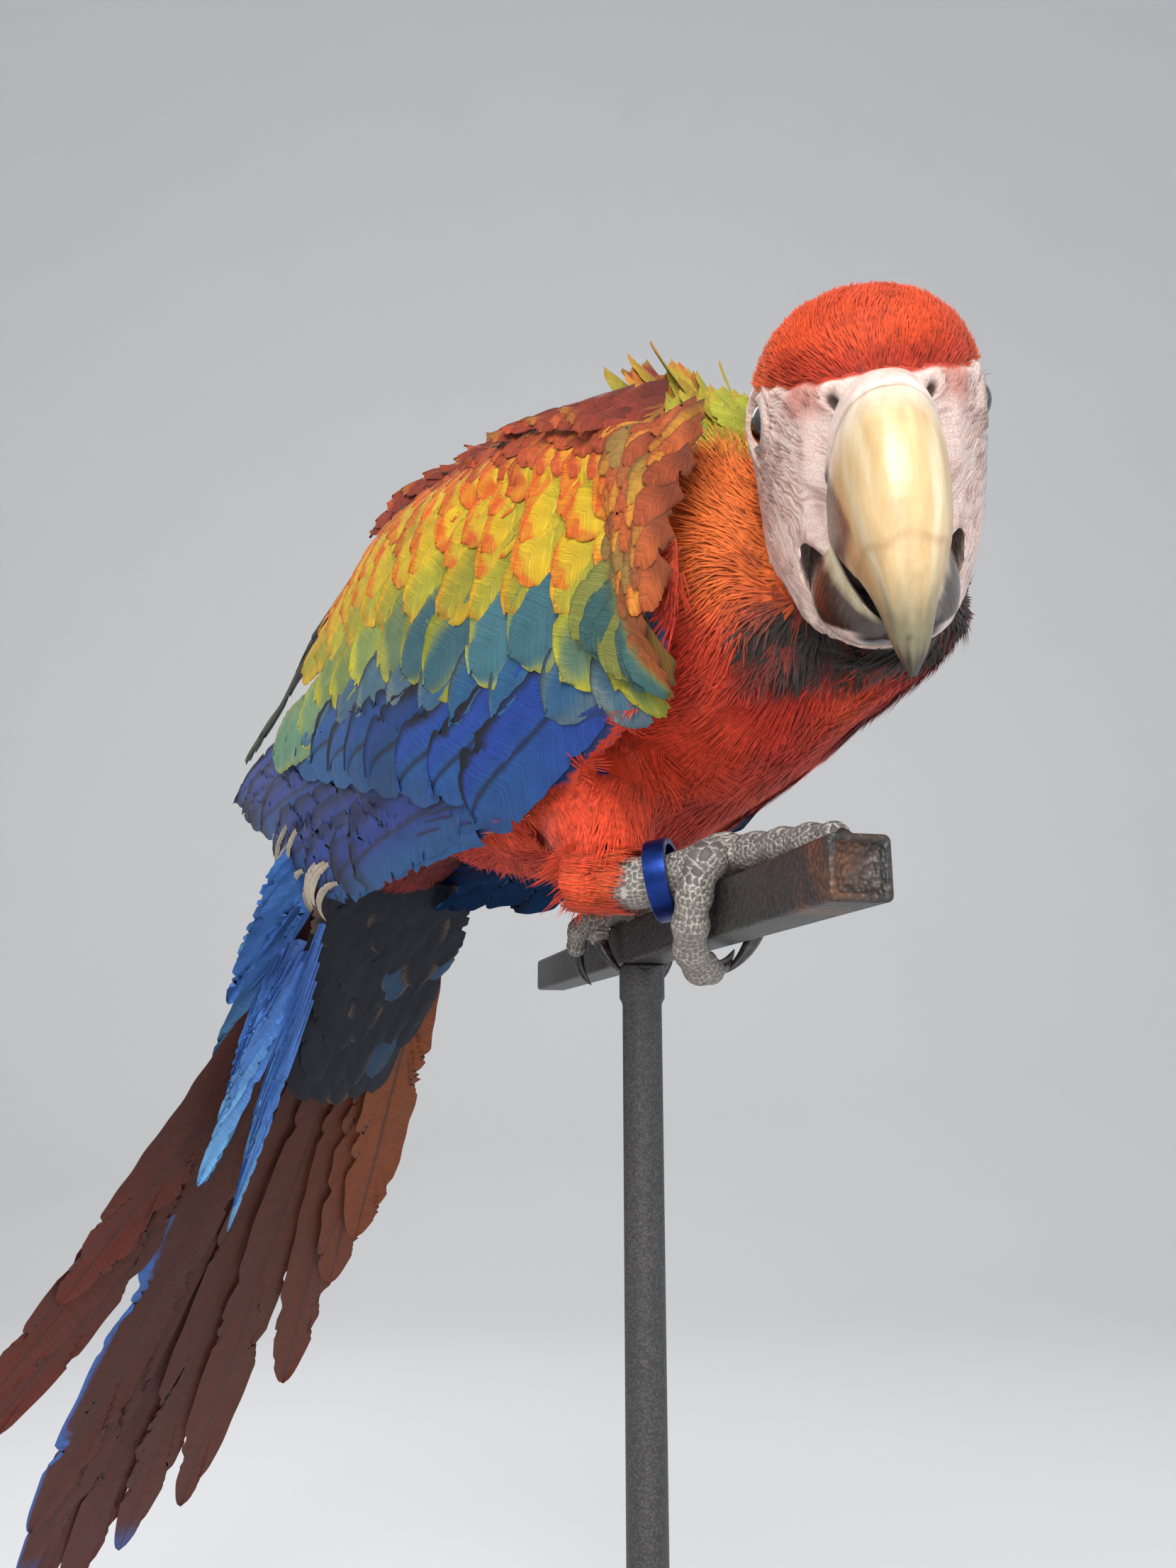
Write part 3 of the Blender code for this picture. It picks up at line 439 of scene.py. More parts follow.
def finer_where(points, quads, chosen, cuts=3):
    """Triangles of a mesh, with its chosen part cut finer and smoothed."""
    coarse = make_mesh("coarse", points, quads)
    bm = bmesh.new()
    bm.from_mesh(coarse.data)
    bm.verts.ensure_lookup_table()
    edges = [e for e in bm.edges if chosen[e.verts[0].index] and chosen[e.verts[1].index]]
    bmesh.ops.subdivide_edges(bm, edges=edges, cuts=cuts, use_grid_fill=True)
    bmesh.ops.triangulate(bm, faces=bm.faces[:])
    inner = [v for v in bm.verts if v.index < 0 or v.index >= len(chosen) or chosen[v.index]]
    for _ in range(6):
        bmesh.ops.smooth_vert(bm, verts=inner, factor=0.5, use_axis_x=True, use_axis_y=True, use_axis_z=True)
    bm.to_mesh(coarse.data)
    bm.free()
    fine_points = to_bird(read(coarse.data.vertices, "co", 3))
    faces = read(coarse.data.loops, "vertex_index", 1, np.int32).reshape(-1, 3)
    bpy.data.objects.remove(coarse, do_unlink=True)
    return fine_points, faces


def face_relief(points, normals, faces):
    """Lids round the eyes, nostril rims and the folds of the face."""
    head = to_head(points)
    x, y, z = head.T
    bare = face_share(head)
    push = np.zeros(len(points))
    for side in (-1, 1):
        reach = np.hypot((y + EYE_AHEAD) * 0.95, z) + ramp(12, 6, side * x) * 30
        push += 0.9 * np.exp(-((reach - 6.1) / 0.75) ** 2) - 0.5 * np.exp(-((reach - 7.9) / 0.8) ** 2)
        push += 0.35 * np.exp(-((reach - 9.2) / 0.7) ** 2)
        push += 1.7 * ramp(12, 20, side * x) * np.exp(-(((y - 6.5) / 5.5) ** 2 + ((z + 1) / 9.0) ** 2))
    nostril = np.hypot((np.abs(x) - NOSTRIL_OUT) / 1.0, (z - NOSTRIL_UP) / 1.4)
    front = ramp(-22, -26, y)
    push += front * (0.7 * np.exp(-((nostril - 2.6) / 0.9) ** 2) - 1.6 * np.exp(-(nostril / 1.3) ** 2))
    ridge, depth = face_lines(head)
    edge = gape_edge(head)
    push += bare * (ridge - 0.5) * depth * 0.34 * ramp(-0.5, -5.0, edge)
    points = tuck_under_beak(points + normals * push[:, None], edge)
    pairs = np.concatenate((faces[:, :2], faces[:, 1:], faces[:, ::2]))
    pairs = np.concatenate((pairs, pairs[:, ::-1]))
    degree = np.bincount(pairs[:, 0], minlength=len(points))[:, None]
    share = (0.6 * ramp(-5.0, -1.5, edge) * bare)[:, None]
    for _ in range(14):
        around = np.stack([np.bincount(pairs[:, 0], points[pairs[:, 1], i], len(points))
                           for i in range(3)], axis=1)
        points = points + share * (around / degree - points)
    return points


def tuck_under_beak(points, edge):
    """Draw the skin in under the horn past the edge of the bare face."""
    head = to_head(points)
    horn = [beak_upper_rings()[0], beak_lower_rings()[0]]
    trees = []
    for rings in horn:
        corners, faces = closed_rings(rings)
        trees.append(BVHTree.FromPolygons(corners.tolist(), halved(faces).tolist()))
    moved = head.copy()
    for i in np.nonzero(edge > -3.0)[0]:
        side = 1.0 if head[i, 0] > 0 else -1.0
        share = float(ramp(-3.0, 0.8, edge[i]))
        depth = 2.5 + 2.5 * float(ramp(0.5, 3.0, edge[i]))
        start = Vector((side * 40.0, head[i, 1], head[i, 2]))
        for tree in trees:
            hit = tree.ray_cast(start, Vector((-side, 0.0, 0.0)))[0]
            if hit is not None:
                depth = max(depth if abs(hit.x) < 3 else 0.0, abs(head[i, 0]) - abs(hit.x)
                            + 0.7) if abs(hit.x) > 3 else depth
                break
        moved[i, 0] -= side * min(share * max(depth, 0.0), abs(head[i, 0]) - 0.5)
    return from_head(moved)


def gape_edge(head):
    """Rough distance past the edge where the bare skin meets the sides of the beak."""
    x, y, z = head.T
    upper = np.minimum(-28.4 - y, 3.0 - z)
    corner = -26.8 + 5.5 * ramp(-30, -41, z)
    lower = np.minimum(np.minimum(corner - y, z + 42.8), -16.0 - z + 0.25 * (y + 30))
    edge = np.minimum(np.maximum(np.minimum(upper, z + 21.0), lower), np.abs(x) - 4.0)
    return np.minimum(edge, 31.0 - np.abs(x))


def unwrap(points):
    """The skin's own unwrap: round the body's middle line, and along it."""
    x, y, z = points.T
    middle = np.interp(y, (-140, -60, 40, 120, 172), (100, 90, 84, 66, 24))
    around = np.arctan2(x, z - middle) / (2 * math.pi) + 0.5
    along = (y + 175.0) / 470.0
    return np.stack((0.02 + 0.55 * np.clip(around, 0, 1), 0.02 + 0.96 * np.clip(along, 0, 1)), axis=1)


# ---------------------------------------------------------------- tufts on the skin

def flow(points, normals):
    """The lie of the coat: from the beak back over the head, then down the body and legs."""
    head = to_head(points)
    away = unit(head - np.array((0.0, -46.0, -12.0)))
    on_head = ramp(60, 40, distance(head, (0, 4, -8)))
    head_flow = away @ HEAD_TURN.T
    x, y, z = points.T
    body = np.tile(np.array((0.0, 0.86, -0.42)), (len(points), 1))
    leg = ramp(50, 34, z) * ramp(12, 22, np.abs(x)) * ramp(58, 44, y)
    down = mix((-0.36, -0.50, -0.78), (0.35, 0.30, -0.88), ramp(-2, 2, x))
    body = mix(body, down, leg)
    breast = ramp(-50, -75, y) * ramp(95, 70, z)
    body = mix(body, (0.0, 0.45, -0.9), breast)
    lie = mix(body, head_flow, on_head)
    wander = np.stack([lumps(points, 30.0, 20 + i) for i in range(3)], axis=1)
    lie = lie + 0.28 * wander
    return along_skin(lie, normals)


def scatter(points, quads, keep, spacing, seed):
    """Random places on the skin, no two closer than the spacing."""
    rng = np.random.default_rng(seed)
    chosen = quads[keep[quads].all(axis=1)]
    a, b, c, d = (points[chosen[:, i]] for i in range(4))
    area = np.linalg.norm(np.cross(c - a, d - b), axis=1) / 2
    tries = int(area.sum() / spacing**2 * 3.2)
    pick = rng.choice(len(chosen), tries, p=area / area.sum())
    s, t = rng.random((2, tries, 1))
    spots = (a[pick] * (1 - s) + b[pick] * s) * (1 - t) + (d[pick] * (1 - s) + c[pick] * s) * t
    cell = np.floor(spots / (spacing / 1.7320508)).astype(np.int64)
    key = (cell[:, 0] * 73856093) ^ (cell[:, 1] * 19349663) ^ (cell[:, 2] * 83492791)
    _, first = np.unique(key, return_index=True)
    first = np.sort(first)
    tree = kd_tree(spots[first])
    alive = np.ones(len(first), bool)
    for i, spot in enumerate(spots[first]):
        if alive[i]:
            for _, j, _ in tree.find_range(spot, spacing * 0.8):
                if j > i:
                    alive[j] = False
    chosen_spots = spots[first][alive]
    corner = chosen[pick[first][alive], 0]
    return chosen_spots, corner


def strand_tufts(name, roots, normals, lies, tints, size, strands, look, spread=0.42, lift=0.16, segments=2):
    """Tufts of narrow strands that fan out from their roots along the lie of the coat."""
    count = len(roots)
    length, width = size
    rng = np.random.default_rng(len(name) * 97 + count)
    across = np.cross(normals, lies)
    fan = np.linspace(-1, 1, strands)[None, :] + rng.normal(scale=0.16, size=(count, strands))
    reach = length[:, None] * (1 - 0.22 * fan**2) * rng.uniform(0.78, 1.12, (count, strands))
    base = roots[:, None, :] - normals[:, None, :] * 0.5 + across[:, None, :] * (fan * width[:, None]
                                                                                 * 0.45)[..., None]
    turn = unit(lies[:, None, :] + across[:, None, :] * (fan * spread)[..., None])
    side = np.cross(normals[:, None, :], turn)
    rise = lift * reach * rng.uniform(0.7, 1.15, (count, strands))
    thick = width[:, None] * 0.62 / strands * rng.uniform(0.8, 1.3, (count, strands))
    levels = np.linspace(0, 1, segments + 1)
    verts = []
    shades = []
    curl = rng.normal(scale=0.06, size=(count, strands))
    for level in levels:
        line = base + turn * (reach * level)[..., None]
        line = line + normals[:, None, :] * (0.6 + rise * math.sin(math.pi * min(level, 1) * 0.62))[..., None]
        line = line + side * (curl * reach * level**2)[..., None]
        if level < 1:
            half = thick * (1.0 if level == 0 else 0.85)
            verts += [line - side * half[..., None], line + side * half[..., None]]
            shades += [level, level]
        else:
            verts.append(line)
            shades.append(level)
    verts = np.stack(verts, axis=2).reshape(-1, 3)
    per = 2 * segments + 1
    faces = []
    for i in range(segments - 1):
        o = 2 * i
        faces += [(o, o + 1, o + 3), (o, o + 3, o + 2)]
    o = 2 * (segments - 1)
    faces.append((o, o + 1, o + 2))
    faces = np.array(faces)
    total = count * strands
    faces = (faces[None] + (np.arange(total) * per)[:, None, None]).reshape(-1, 3)
    vary = rng.normal(scale=0.10, size=(count, strands, 1)) + rng.normal(scale=0.09, size=(count, 1, 1))
    grade = 0.72 + 0.42 * np.array(shades)
    colour = tints[:, None, None, :] * (grade[None, None, :, None] + vary[..., None])
    colour = colour.reshape(-1, 3)
    uv = unwrap(roots)[:, None, None, :] + UV_PATCH * np.stack((
        np.broadcast_to(fan[:, :, None], (count, strands, per)),
        np.broadcast_to(np.array(shades)[None, None, :] * 2 - 1, (count, strands, per))), axis=-1)
    return split_pieces(name, verts, faces, colour, uv.reshape(-1, 2), None, look, per * strands,
                        len(faces) // count)


def split_pieces(name, verts, faces, colour, uv, vane, look, verts_each, faces_each):
    """Make joined tufts, split into pieces of at most PIECE_LIMIT triangles."""
    per_quad = 2 if faces.shape[1] == 4 else 1
    tufts = len(faces) // faces_each
    step = max(1, PIECE_LIMIT // (faces_each * per_quad))
    made = []
    for number, start in enumerate(range(0, tufts, step)):
        end = min(start + step, tufts)
        v0, v1 = start * verts_each, end * verts_each
        piece = make_mesh("%s_%d" % (name, number + 1), verts[v0:v1],
                          faces[start * faces_each:end * faces_each] - v0, colour[v0:v1], uv[v0:v1],
                          None if vane is None else vane[v0:v1])
        piece.data.materials.append(look)
        made.append(piece)
    return made


# ---------------------------------------------------------------- vanes

def vane_grid(count, rows, columns):
    """Shares along and across a vane for every point, and the quads of all vanes."""
    along = np.linspace(0, 1, rows + 1)
    across = np.linspace(-1, 1, columns + 1)
    u, v = np.meshgrid(along, across, indexing="ij")
    corner = np.arange((rows + 1) * (columns + 1)).reshape(rows + 1, columns + 1)
    quads = np.stack((corner[:-1, :-1], corner[:-1, 1:], corner[1:, 1:], corner[1:, :-1]),
                     axis=-1).reshape(-1, 4)
    offsets = np.arange(count) * corner.size
    return u.ravel(), v.ravel(), (quads[None] + offsets[:, None, None]).reshape(-1, 4)


def vane_outline(u, tip_start, root, power=2.0):
    """Half width of a vane along its length, as a share."""
    grow = root + (1 - root) * ramp(0.0, 0.45, u)
    t = np.clip((u - tip_start) / (1 - tip_start), 0, 1)
    return grow * np.maximum(1 - t**power, 0.0) ** 0.55


def ragged(count, u, v, rng, nicks, depth):
    """How much of the half vane is left at each point, with nicks where the barbs part."""
    left = np.ones((count, len(u)))
    for _ in range(nicks):
        place = rng.uniform(0.25, 0.98, (count, 1))
        side = np.sign(rng.normal(size=(count, 1)))
        wide = rng.uniform(0.008, 0.03, (count, 1))
        deep = depth * rng.uniform(0.3, 1.0, (count, 1))
        slant = u - 0.16 * np.abs(v)
        nick = np.clip(1 - np.abs(slant + 0.16 - place) / wide, 0, 1)
        left -= deep * nick * (v * side > 0)
    wave = np.zeros((count, len(u)))
    for scale in (17.0, 39.0, 71.0):
        wave += np.sin(u * scale + rng.uniform(0, 6.28, (count, 1)) + (v > 0) * 2.1) / 3
    return np.clip(left + 0.05 * wave, 0.25, 1.1)


def wing_point(side, y, z, out):
    """Points over the surface that the folded wing lies on."""
    y = np.asarray(y, float)
    z = np.asarray(z, float)
    if side > 0:
        z = z + left_lift(y, z)
        y = y + LEFT_BACK
    half, middle, up, down = lookup(WING_SURFACE, y)
    reach = np.where(z > middle, up, down)
    rise = np.minimum(np.abs(z - middle) / reach, 0.97)
    across = half * (1 - rise**ROUNDNESS) ** (1 / ROUNDNESS)
    nx = (across / half) ** (ROUNDNESS - 1) / half
    nz = np.copysign(rise ** (ROUNDNESS - 1) / reach, z - middle)
    size = np.hypot(nx, nz)
    return np.stack((side * (across + nx / size * out), y, z + nz / size * out), axis=-1)


def wing_height(y, z):
    """How far the wing's feathers stand over the surface it lies on."""
    low, top, thick = lookup(WING_EDGES, y)
    share = np.clip((z - low) / np.maximum(top - low, 1.0), 0, 1)
    return thick * (1 - 0.38 * np.abs(2 * share - 1) ** 3)


# How far the skin stands over each wing's surface, in square cells along Y and Z
RISE_GRID = {}
RISE_CELL = 4.0
RISE_SIZE = (95, 50)
RISE_START = -80
RISE_NONE = -9.0


def measure_rise(points, normals):
    """Note, for each wing, how far the skin below stands over the wing's surface."""
    for side in (-1, 1):
        x, y, z = points.T
        back = y - LEFT_BACK * (side > 0)
        level = z - left_lift(y, z) * (side > 0)
        stands = side * x - np.abs(wing_point(-1, back, level, 0.0)[:, 0])
        near = (np.abs(stands) < 7) & (side * normals[:, 0] > 0.2) & (back > RISE_START)
        cells = np.full(RISE_SIZE, RISE_NONE)
        rows, columns = RISE_SIZE
        place = (((back[near] - RISE_START) / RISE_CELL).astype(int),
                 (level[near] / RISE_CELL).astype(int).clip(0, columns - 1))
        np.maximum.at(cells, place, stands[near])
        for spread in (np.max, np.mean):
            padded = np.pad(cells, 1, mode="edge")
            cells = spread([padded[i:i + rows, j:j + columns] for i in range(3) for j in range(3)], axis=0)
        RISE_GRID[side] = cells


def skin_rise(side, y, z):
    """How far the skin stands over a wing's surface at places on it, read between the cells."""
    a = np.clip((y - RISE_START) / RISE_CELL - 0.5, 0, RISE_SIZE[0] - 2.0)
    b = np.clip(z / RISE_CELL - 0.5, 0, RISE_SIZE[1] - 2.0)
    i, j = a.astype(int), b.astype(int)
    fa, fb = a - i, b - j
    cells = RISE_GRID[side]
    return ((cells[i, j] * (1 - fa) + cells[i + 1, j] * fa) * (1 - fb)
            + (cells[i, j + 1] * (1 - fa) + cells[i + 1, j + 1] * fa) * fb)


def wing_vanes(name, side, feathers, grid, shape, look, paint, rng, skew=0.0):
    """A row or group of feathers laid on a wing.

    feathers holds root y and z, angle in degrees below straight back, length, half width and
    height over the wing. shape holds where the tip begins and the root's width, as shares, the
    number of nicks and their depth, the rise to the tip, the tilt across and the bend in radians.
    paint(index, u, v) gives each point's colour.
    """
    feathers = np.array(feathers, float)
    count = len(feathers)
    rows, columns = grid
    tip_start, root, nicks, depth, rise, tilt, bend = shape
    u, v, quads = vane_grid(count, rows, columns)
    root_y, root_z, angle, length, half, height = (feathers[:, i][:, None] for i in range(6))
    outline = vane_outline(u, tip_start, root) * ragged(count, u, v, rng, nicks, depth)
    uneven = 1 + 0.02 * np.sin(v * 3 + rng.uniform(0, 6, (count, 1)))
    along = u * length * uneven
    across = (v + skew) * half * outline
    turn = np.radians(angle) + bend * (u - 0.5)
    y = root_y + along * np.cos(turn) + across * np.sin(turn)
    z = root_z - along * np.sin(turn) + across * np.cos(turn)
    y = np.where(y < WING_FRONT, WING_FRONT + FRONT_SQUEEZE * (y - WING_FRONT), y)
    base = wing_height(y, z) - 2.4 - 3.4 * ramp(-46, -64, y)
    base = np.maximum(base, skin_rise(side, y, z) + 0.5)
    out = base + height + rise * u + tilt * v
    out = out + 0.28 * np.exp(-(v / 0.1) ** 2) * (1 - u) - 0.35 * v ** 2 * u
    out = out + rng.normal(scale=0.12, size=(count, 1)) + 0.18 * np.sin(u * 5 + 9 * v)
    points = wing_point(side, y.ravel(), z.ravel(), out.ravel())
    colour = paint(np.arange(count)[:, None], np.broadcast_to(u, (count, len(u))),
                   np.broadcast_to(v, (count, len(v))))
    vane = np.stack((along.ravel(), across.ravel()), axis=1)
    spot = unwrap(wing_point(side, root_y.ravel(), root_z.ravel(), 0 * root_y.ravel()))
    spot[:, 0] = 0.60 + 0.18 * (side > 0) + 0.16 * np.clip((root_z.ravel() - 10) / 150, 0, 1)
    uv = spot[:, None, :] + UV_PATCH * np.stack((2 * u - 1, v), axis=1)[None]
    return split_pieces("%s_%s" % (name, "left" if side > 0 else "right"), points, quads, colour.reshape(-1, 3),
                        uv.reshape(-1, 2), vane, look, len(u), rows * columns)


def per_feather(count, spread, rng):
    """A brightness for each feather."""
    return 1 + spread * rng.normal(size=(count, 1, 1))


def lie_angle(y):
    """Degrees below straight back that a wing feather points, by its place along the wing."""
    return np.interp(y, (-60, -20, 14, 45, 85, 124, 150, 220), (31, 25, 22, 15, 8, 2, -2, -4))


def row_of(tips, count, length, half, height, shift, jitter, rng):
    """Feathers whose tips lie evenly along a line of (y, z) points, from the front one back."""
    tips = np.array(tips, float)
    run = np.concatenate(((0.0,), np.cumsum(np.linalg.norm(np.diff(tips, axis=0), axis=1))))
    share = np.linspace(0, 1, count)
    place = share * run[-1]
    y = np.interp(place, run, tips[:, 0])
    z = np.interp(place, run, tips[:, 1])
    long = length[0] + (length[1] - length[0]) * share
    wide = half[0] + (half[1] - half[0]) * share
    angle = lie_angle(y) + shift
    y = y + rng.normal(scale=jitter[0], size=count)
    z = z + rng.normal(scale=jitter[0] * 0.8, size=count)
    angle = angle + rng.normal(scale=jitter[1], size=count)
    wide = wide * rng.uniform(0.92, 1.1, count)
    turn = np.radians(angle)
    long = np.minimum(long, (y + 62.0) / np.cos(turn) + 7.0)
    return np.stack((y - long * np.cos(turn), z + long * np.sin(turn), angle, long, wide,
                     height - 0.35 * share), axis=1)


def build_wing(side, looks):
    """All feathers of one folded wing, from the flight feathers up to the smallest coverts."""
    rng = np.random.default_rng(40 + side)
    made = []

    def lay(name, feathers, grid, shape, look, paint, skew=0.0):
        made.extend(wing_vanes(name, side, feathers, grid, shape, looks[look], paint, rng, skew))

    def line_up(*row):
        return row_of(*row, rng)

    def vary(i, spread):
        return per_feather(len(i), spread, rng)

    def painted_shade(tint, u, v):
        """Painted shade: darker at the base and along the very edge, so that each feather reads by itself."""
        return tint * (1 - 0.45 * ramp(0.55, 0.2, u) - 0.30 * ramp(0.90, 1.0, np.abs(v)))[..., None]

    def primary_paint(i, u, v):
        blue = layered(
            (0.022, 0.050, 0.26),
            ((0.012, 0.085, 0.25), ramp(0.2, -0.8, v)),
            ((0.008, 0.012, 0.045), ramp(0.35, 0.9, v) * 0.85),
            ((0.008, 0.009, 0.018), ramp(0.86, 0.99, u) * 0.9))
        return mix(blue, (0.020, 0.016, 0.016), ramp(0.05, 0.02, np.abs(v)) * 0.8) * vary(i, 0.14)

    primaries = line_up(((113, 22), (150, 24), (183, 32), (200, 44), (222, 57), (248, 70), (262, 76)), 10,
                        (112, 180), (12.0, 10.5), -1.0, 2.0, (2.0, 1.0))
    lay("primaries", primaries, (64, 14), (0.82, 0.6, 14, 0.6, 1.2, 0.40, 0.05), "blue", primary_paint, 0.25)

    def secondary_paint(i, u, v):
        front = ramp(6, 0, i + 0 * u)
        blue = layered(
            (0.008, 0.060, 0.21),
            ((0.010, 0.034, 0.24), front * 0.75),
            ((0.012, 0.085, 0.20), ramp(0.45, 0.0, v) * ramp(0.2, 0.8, u) * 0.5),
            ((0.006, 0.007, 0.012), ramp(0.66, 0.92, v + 0.10 * np.sin(u * 9 + i))),
            ((0.006, 0.006, 0.010), ramp(0.045, 0.015, np.abs(v)) * 0.85))
        return blue * vary(i, 0.14)

    secondaries = line_up(((15, 24), (43, 35), (88, 47), (126, 59), (146, 66)), 8, (80, 104), (12.5, 13.5), 0.5,
                          0.0, (1.5, 1.5))
    lay("secondaries", secondaries, (64, 16), (0.84, 0.75, 7, 0.3, 1.5, 0.70, -0.05), "blue",
        secondary_paint, 0.30)

    def greater_paint(i, u, v):
        share = i / max(len(i) - 1, 1) + 0 * u
        front = ramp(0.18, 0.05, share)
        teal = ramp(0.02, 0.14, share) * ramp(0.56, 0.40, share)
        pale = ramp(0.72, 0.92, share)
        middle = ramp(0.95, 0.45, np.abs(v) + 0.20 * np.sin(i * 1.9))
        tint = layered(
            (0.26, 0.28, 0.030),
            ((0.13, 0.20, 0.075), ramp(0.3, 0.9, u) * middle * 0.8),
            ((0.030, 0.110, 0.150), teal * middle * 0.95),
            ((0.11, 0.25, 0.17), pale * 0.85),
            ((0.42, 0.36, 0.02), ramp(0.80, 0.97, np.abs(v)) * (0.3 + 0.4 * (np.sin(i * 2.7) > 0))),
            ((0.46, 0.40, 0.02), ramp(0.86, 0.96, u) * (1 - teal) * (1 - pale) * 0.8),
            ((0.30, 0.085, 0.018), front * ramp(0.7, 0.3, u) * 0.7))
        return painted_shade(tint * vary(i, 0.12), u, v)

    greater = line_up(((-50, 50), (-26, 58), (18, 66), (66, 82), (104, 86), (146, 84), (180, 79)), 13, (46, 66),
                      (13.0, 11.5), 1.2, 0.0, (2.2, 3.0))
    under = line_up(((-44, 44), (-20, 48), (20, 54), (66, 68), (104, 72), (140, 72)), 10, (48, 60),
                    (11.0, 11.0), 0.8, 0.0, (2.0, 2.0))

    def under_paint(i, u, v):
        tint = mix(greater_paint(i, u, v), (0.014, 0.085, 0.22), np.array(0.75))
        return mix(tint, (0.008, 0.010, 0.020), ramp(0.80, 0.95, v) * 0.8)

    lay("under_greater_coverts", under, (40, 14), (0.74, 0.7, 5, 0.3, 1.4, 0.5, 0.10), "covert", under_paint)
    lay("greater_coverts", greater, (40, 14), (0.74, 0.7, 6, 0.3, 1.7, 0.55, 0.12), "covert", greater_paint)

    def median_paint(tip_from, amount, green):
        def paint(i, u, v):
            tint = layered(
                (0.60, 0.37, 0.012),
                ((0.40, 0.36, 0.022), ramp(0.75, 0.35, u) * 0.6),
                ((0.28, 0.29, 0.030), green * ramp(0.9, 0.2, np.abs(v))))
            curve_in = u + 0.06 * np.abs(v) ** 2 + 0.02 * np.sin(7 * v + i)
            rim = ramp(tip_from - 0.03, tip_from + 0.03, curve_in)
            patchy = 0.8 + 0.2 * np.sin(i * 2.4 + 5 * v)
            tint = mix(tint, (0.58, 0.095, 0.010), rim * amount * patchy)
            return painted_shade(tint * vary(i, 0.10), u, v)
        return paint

    rows = (
        (((-48, 66), (4, 79), (45, 91), (76, 100), (150, 104)), 12, (30, 34), (10.0, 11.0), 1.5,
         0.92, 0.35, 0.80),
        (((-50, 75), (0, 88), (36, 102), (143, 116)), 12, (27, 30), (9.4, 10.4), 1.7, 0.86, 0.85, 0.22),
        (((-50, 83), (0, 97), (36, 111), (136, 125)), 13, (25, 28), (8.8, 9.8), 1.9, 0.80, 1.0, 0.05),
        (((-48, 90), (0, 105), (40, 120), (130, 134)), 13, (23, 26), (8.2, 9.2), 2.0, 0.75, 1.0, 0.0),
        (((-47, 96), (0, 111), (44, 128), (122, 142)), 14, (20, 23), (7.6, 8.8), 2.1, 0.66, 1.0, 0.0),
    )
    for number, (tips, count, length, half, height, tip_from, amount, green) in enumerate(rows):
        row = line_up(tips, count, length, half, height, 2.0, (1.3, 4.0))
        lay("median_coverts_%d" % (number + 1), row, (26, 12), (0.60, 0.75, 5, 0.25, 1.9, 0.50, 0.15), "covert",
            median_paint(tip_from, amount, green))

    def lesser_paint(level):
        def paint(i, u, v):
            tint = layered(
                (0.42, 0.060, 0.014),
                ((0.58, 0.25, 0.014), ramp(0.70, 0.3, np.abs(v)) * ramp(0.40, 0.58, u) * ramp(0.84, 0.70, u)
                 * max(0.85 - 0.35 * level, 0.0)),
                ((0.16, 0.018, 0.009), np.array(min(0.28 * level, 0.9))),
                ((0.50, 0.095, 0.022), ramp(0.74, 0.95, u) * (0.25 + 0.5 * (np.sin(i * 4.7) > 0))),
                ((0.30, 0.15, 0.018), (level > 2) * ramp(0.80, 0.98, u) * (np.sin(i * 3.3) > 0.2) * 0.7))
            return painted_shade(tint * vary(i, 0.16), u, v)
        return paint

    lesser = (((-47, 101), (0, 116), (50, 136), (112, 147)), ((-46, 106), (0, 121), (50, 141), (104, 150)),
              ((-45, 110), (0, 125), (50, 145), (94, 151)), ((-43, 114), (0, 129), (44, 147), (86, 152)),
              ((-40, 118), (0, 133), (40, 149), (80, 153)))
    for level, tips in enumerate(lesser):
        row = line_up(tips, 19 - level, (15, 18), (6.2, 7.2), 2.1 + 0.15 * level, 0.0, (1.3, 7.0))
        lay("lesser_coverts_%d" % (level + 1), row, (18, 10),
            (0.50, 0.8, 5, 0.4, 2.0 + 0.35 * level, 0.55, 0.2), "covert", lesser_paint(level))
    fringe = line_up(((-46, 112), (0, 131), (40, 145), (110, 148)), 30, (13, 16), (4.4, 5.0), 2.4,
                     -8.0, (3.0, 10.0))
    lay("back_fringe", fringe, (18, 8), (0.40, 0.8, 6, 0.6, 6.5, 0.8, 0.3), "covert", lesser_paint(3))

    def shoulder_paint(i, u, v):
        tint = layered(
            (0.40, 0.085, 0.018),
            ((0.17, 0.14, 0.030), (np.sin(i * 5.1) > 0.35) * 0.75 * (u > -1)),
            ((0.26, 0.045, 0.014), (np.sin(i * 3.7) > 0.2) * 0.7 * (u > -1)),
            ((0.52, 0.24, 0.016), (np.sin(i * 2.3) > 0.3) * ramp(0.9, 0.3, np.abs(v)) * 0.6))
        return painted_shade(tint * vary(i, 0.14), u, v)

    patch = []
    for k, level in enumerate(np.arange(62.0, 114.0, 5.2)):
        for place in (-72.0, -65.0, -58.0, -51.5):
            tip_y = place + 3.5 * (k % 2) + rng.normal(scale=1.2)
            turn = math.radians(46.0 + rng.normal(scale=6.0))
            patch.append((tip_y - 15 * math.cos(turn), level + 15 * math.sin(turn), math.degrees(turn), 15.0,
                          5.0, 3.5 - 0.05 * (tip_y + 60)))
    lay("shoulder", patch, (18, 8), (0.42, 0.8, 6, 0.6, 2.0, 0.5, 0.2), "covert", shoulder_paint)

    def tertial_paint(i, u, v):
        tint = mix((0.060, 0.070, 0.020), (0.010, 0.011, 0.012), ramp(0.3, -0.7, v))
        return painted_shade(tint * vary(i, 0.2), u, v)

    tertials = line_up(((146, 134), (180, 116), (208, 105), (240, 92)), 6, (80, 96), (9.0, 7.5), 2.4,
                       12.0, (1.5, 2.0))
    lay("tertials", tertials, (48, 12), (0.7, 0.6, 9, 0.5, 1.8, 0.4, 0.1), "covert", tertial_paint)

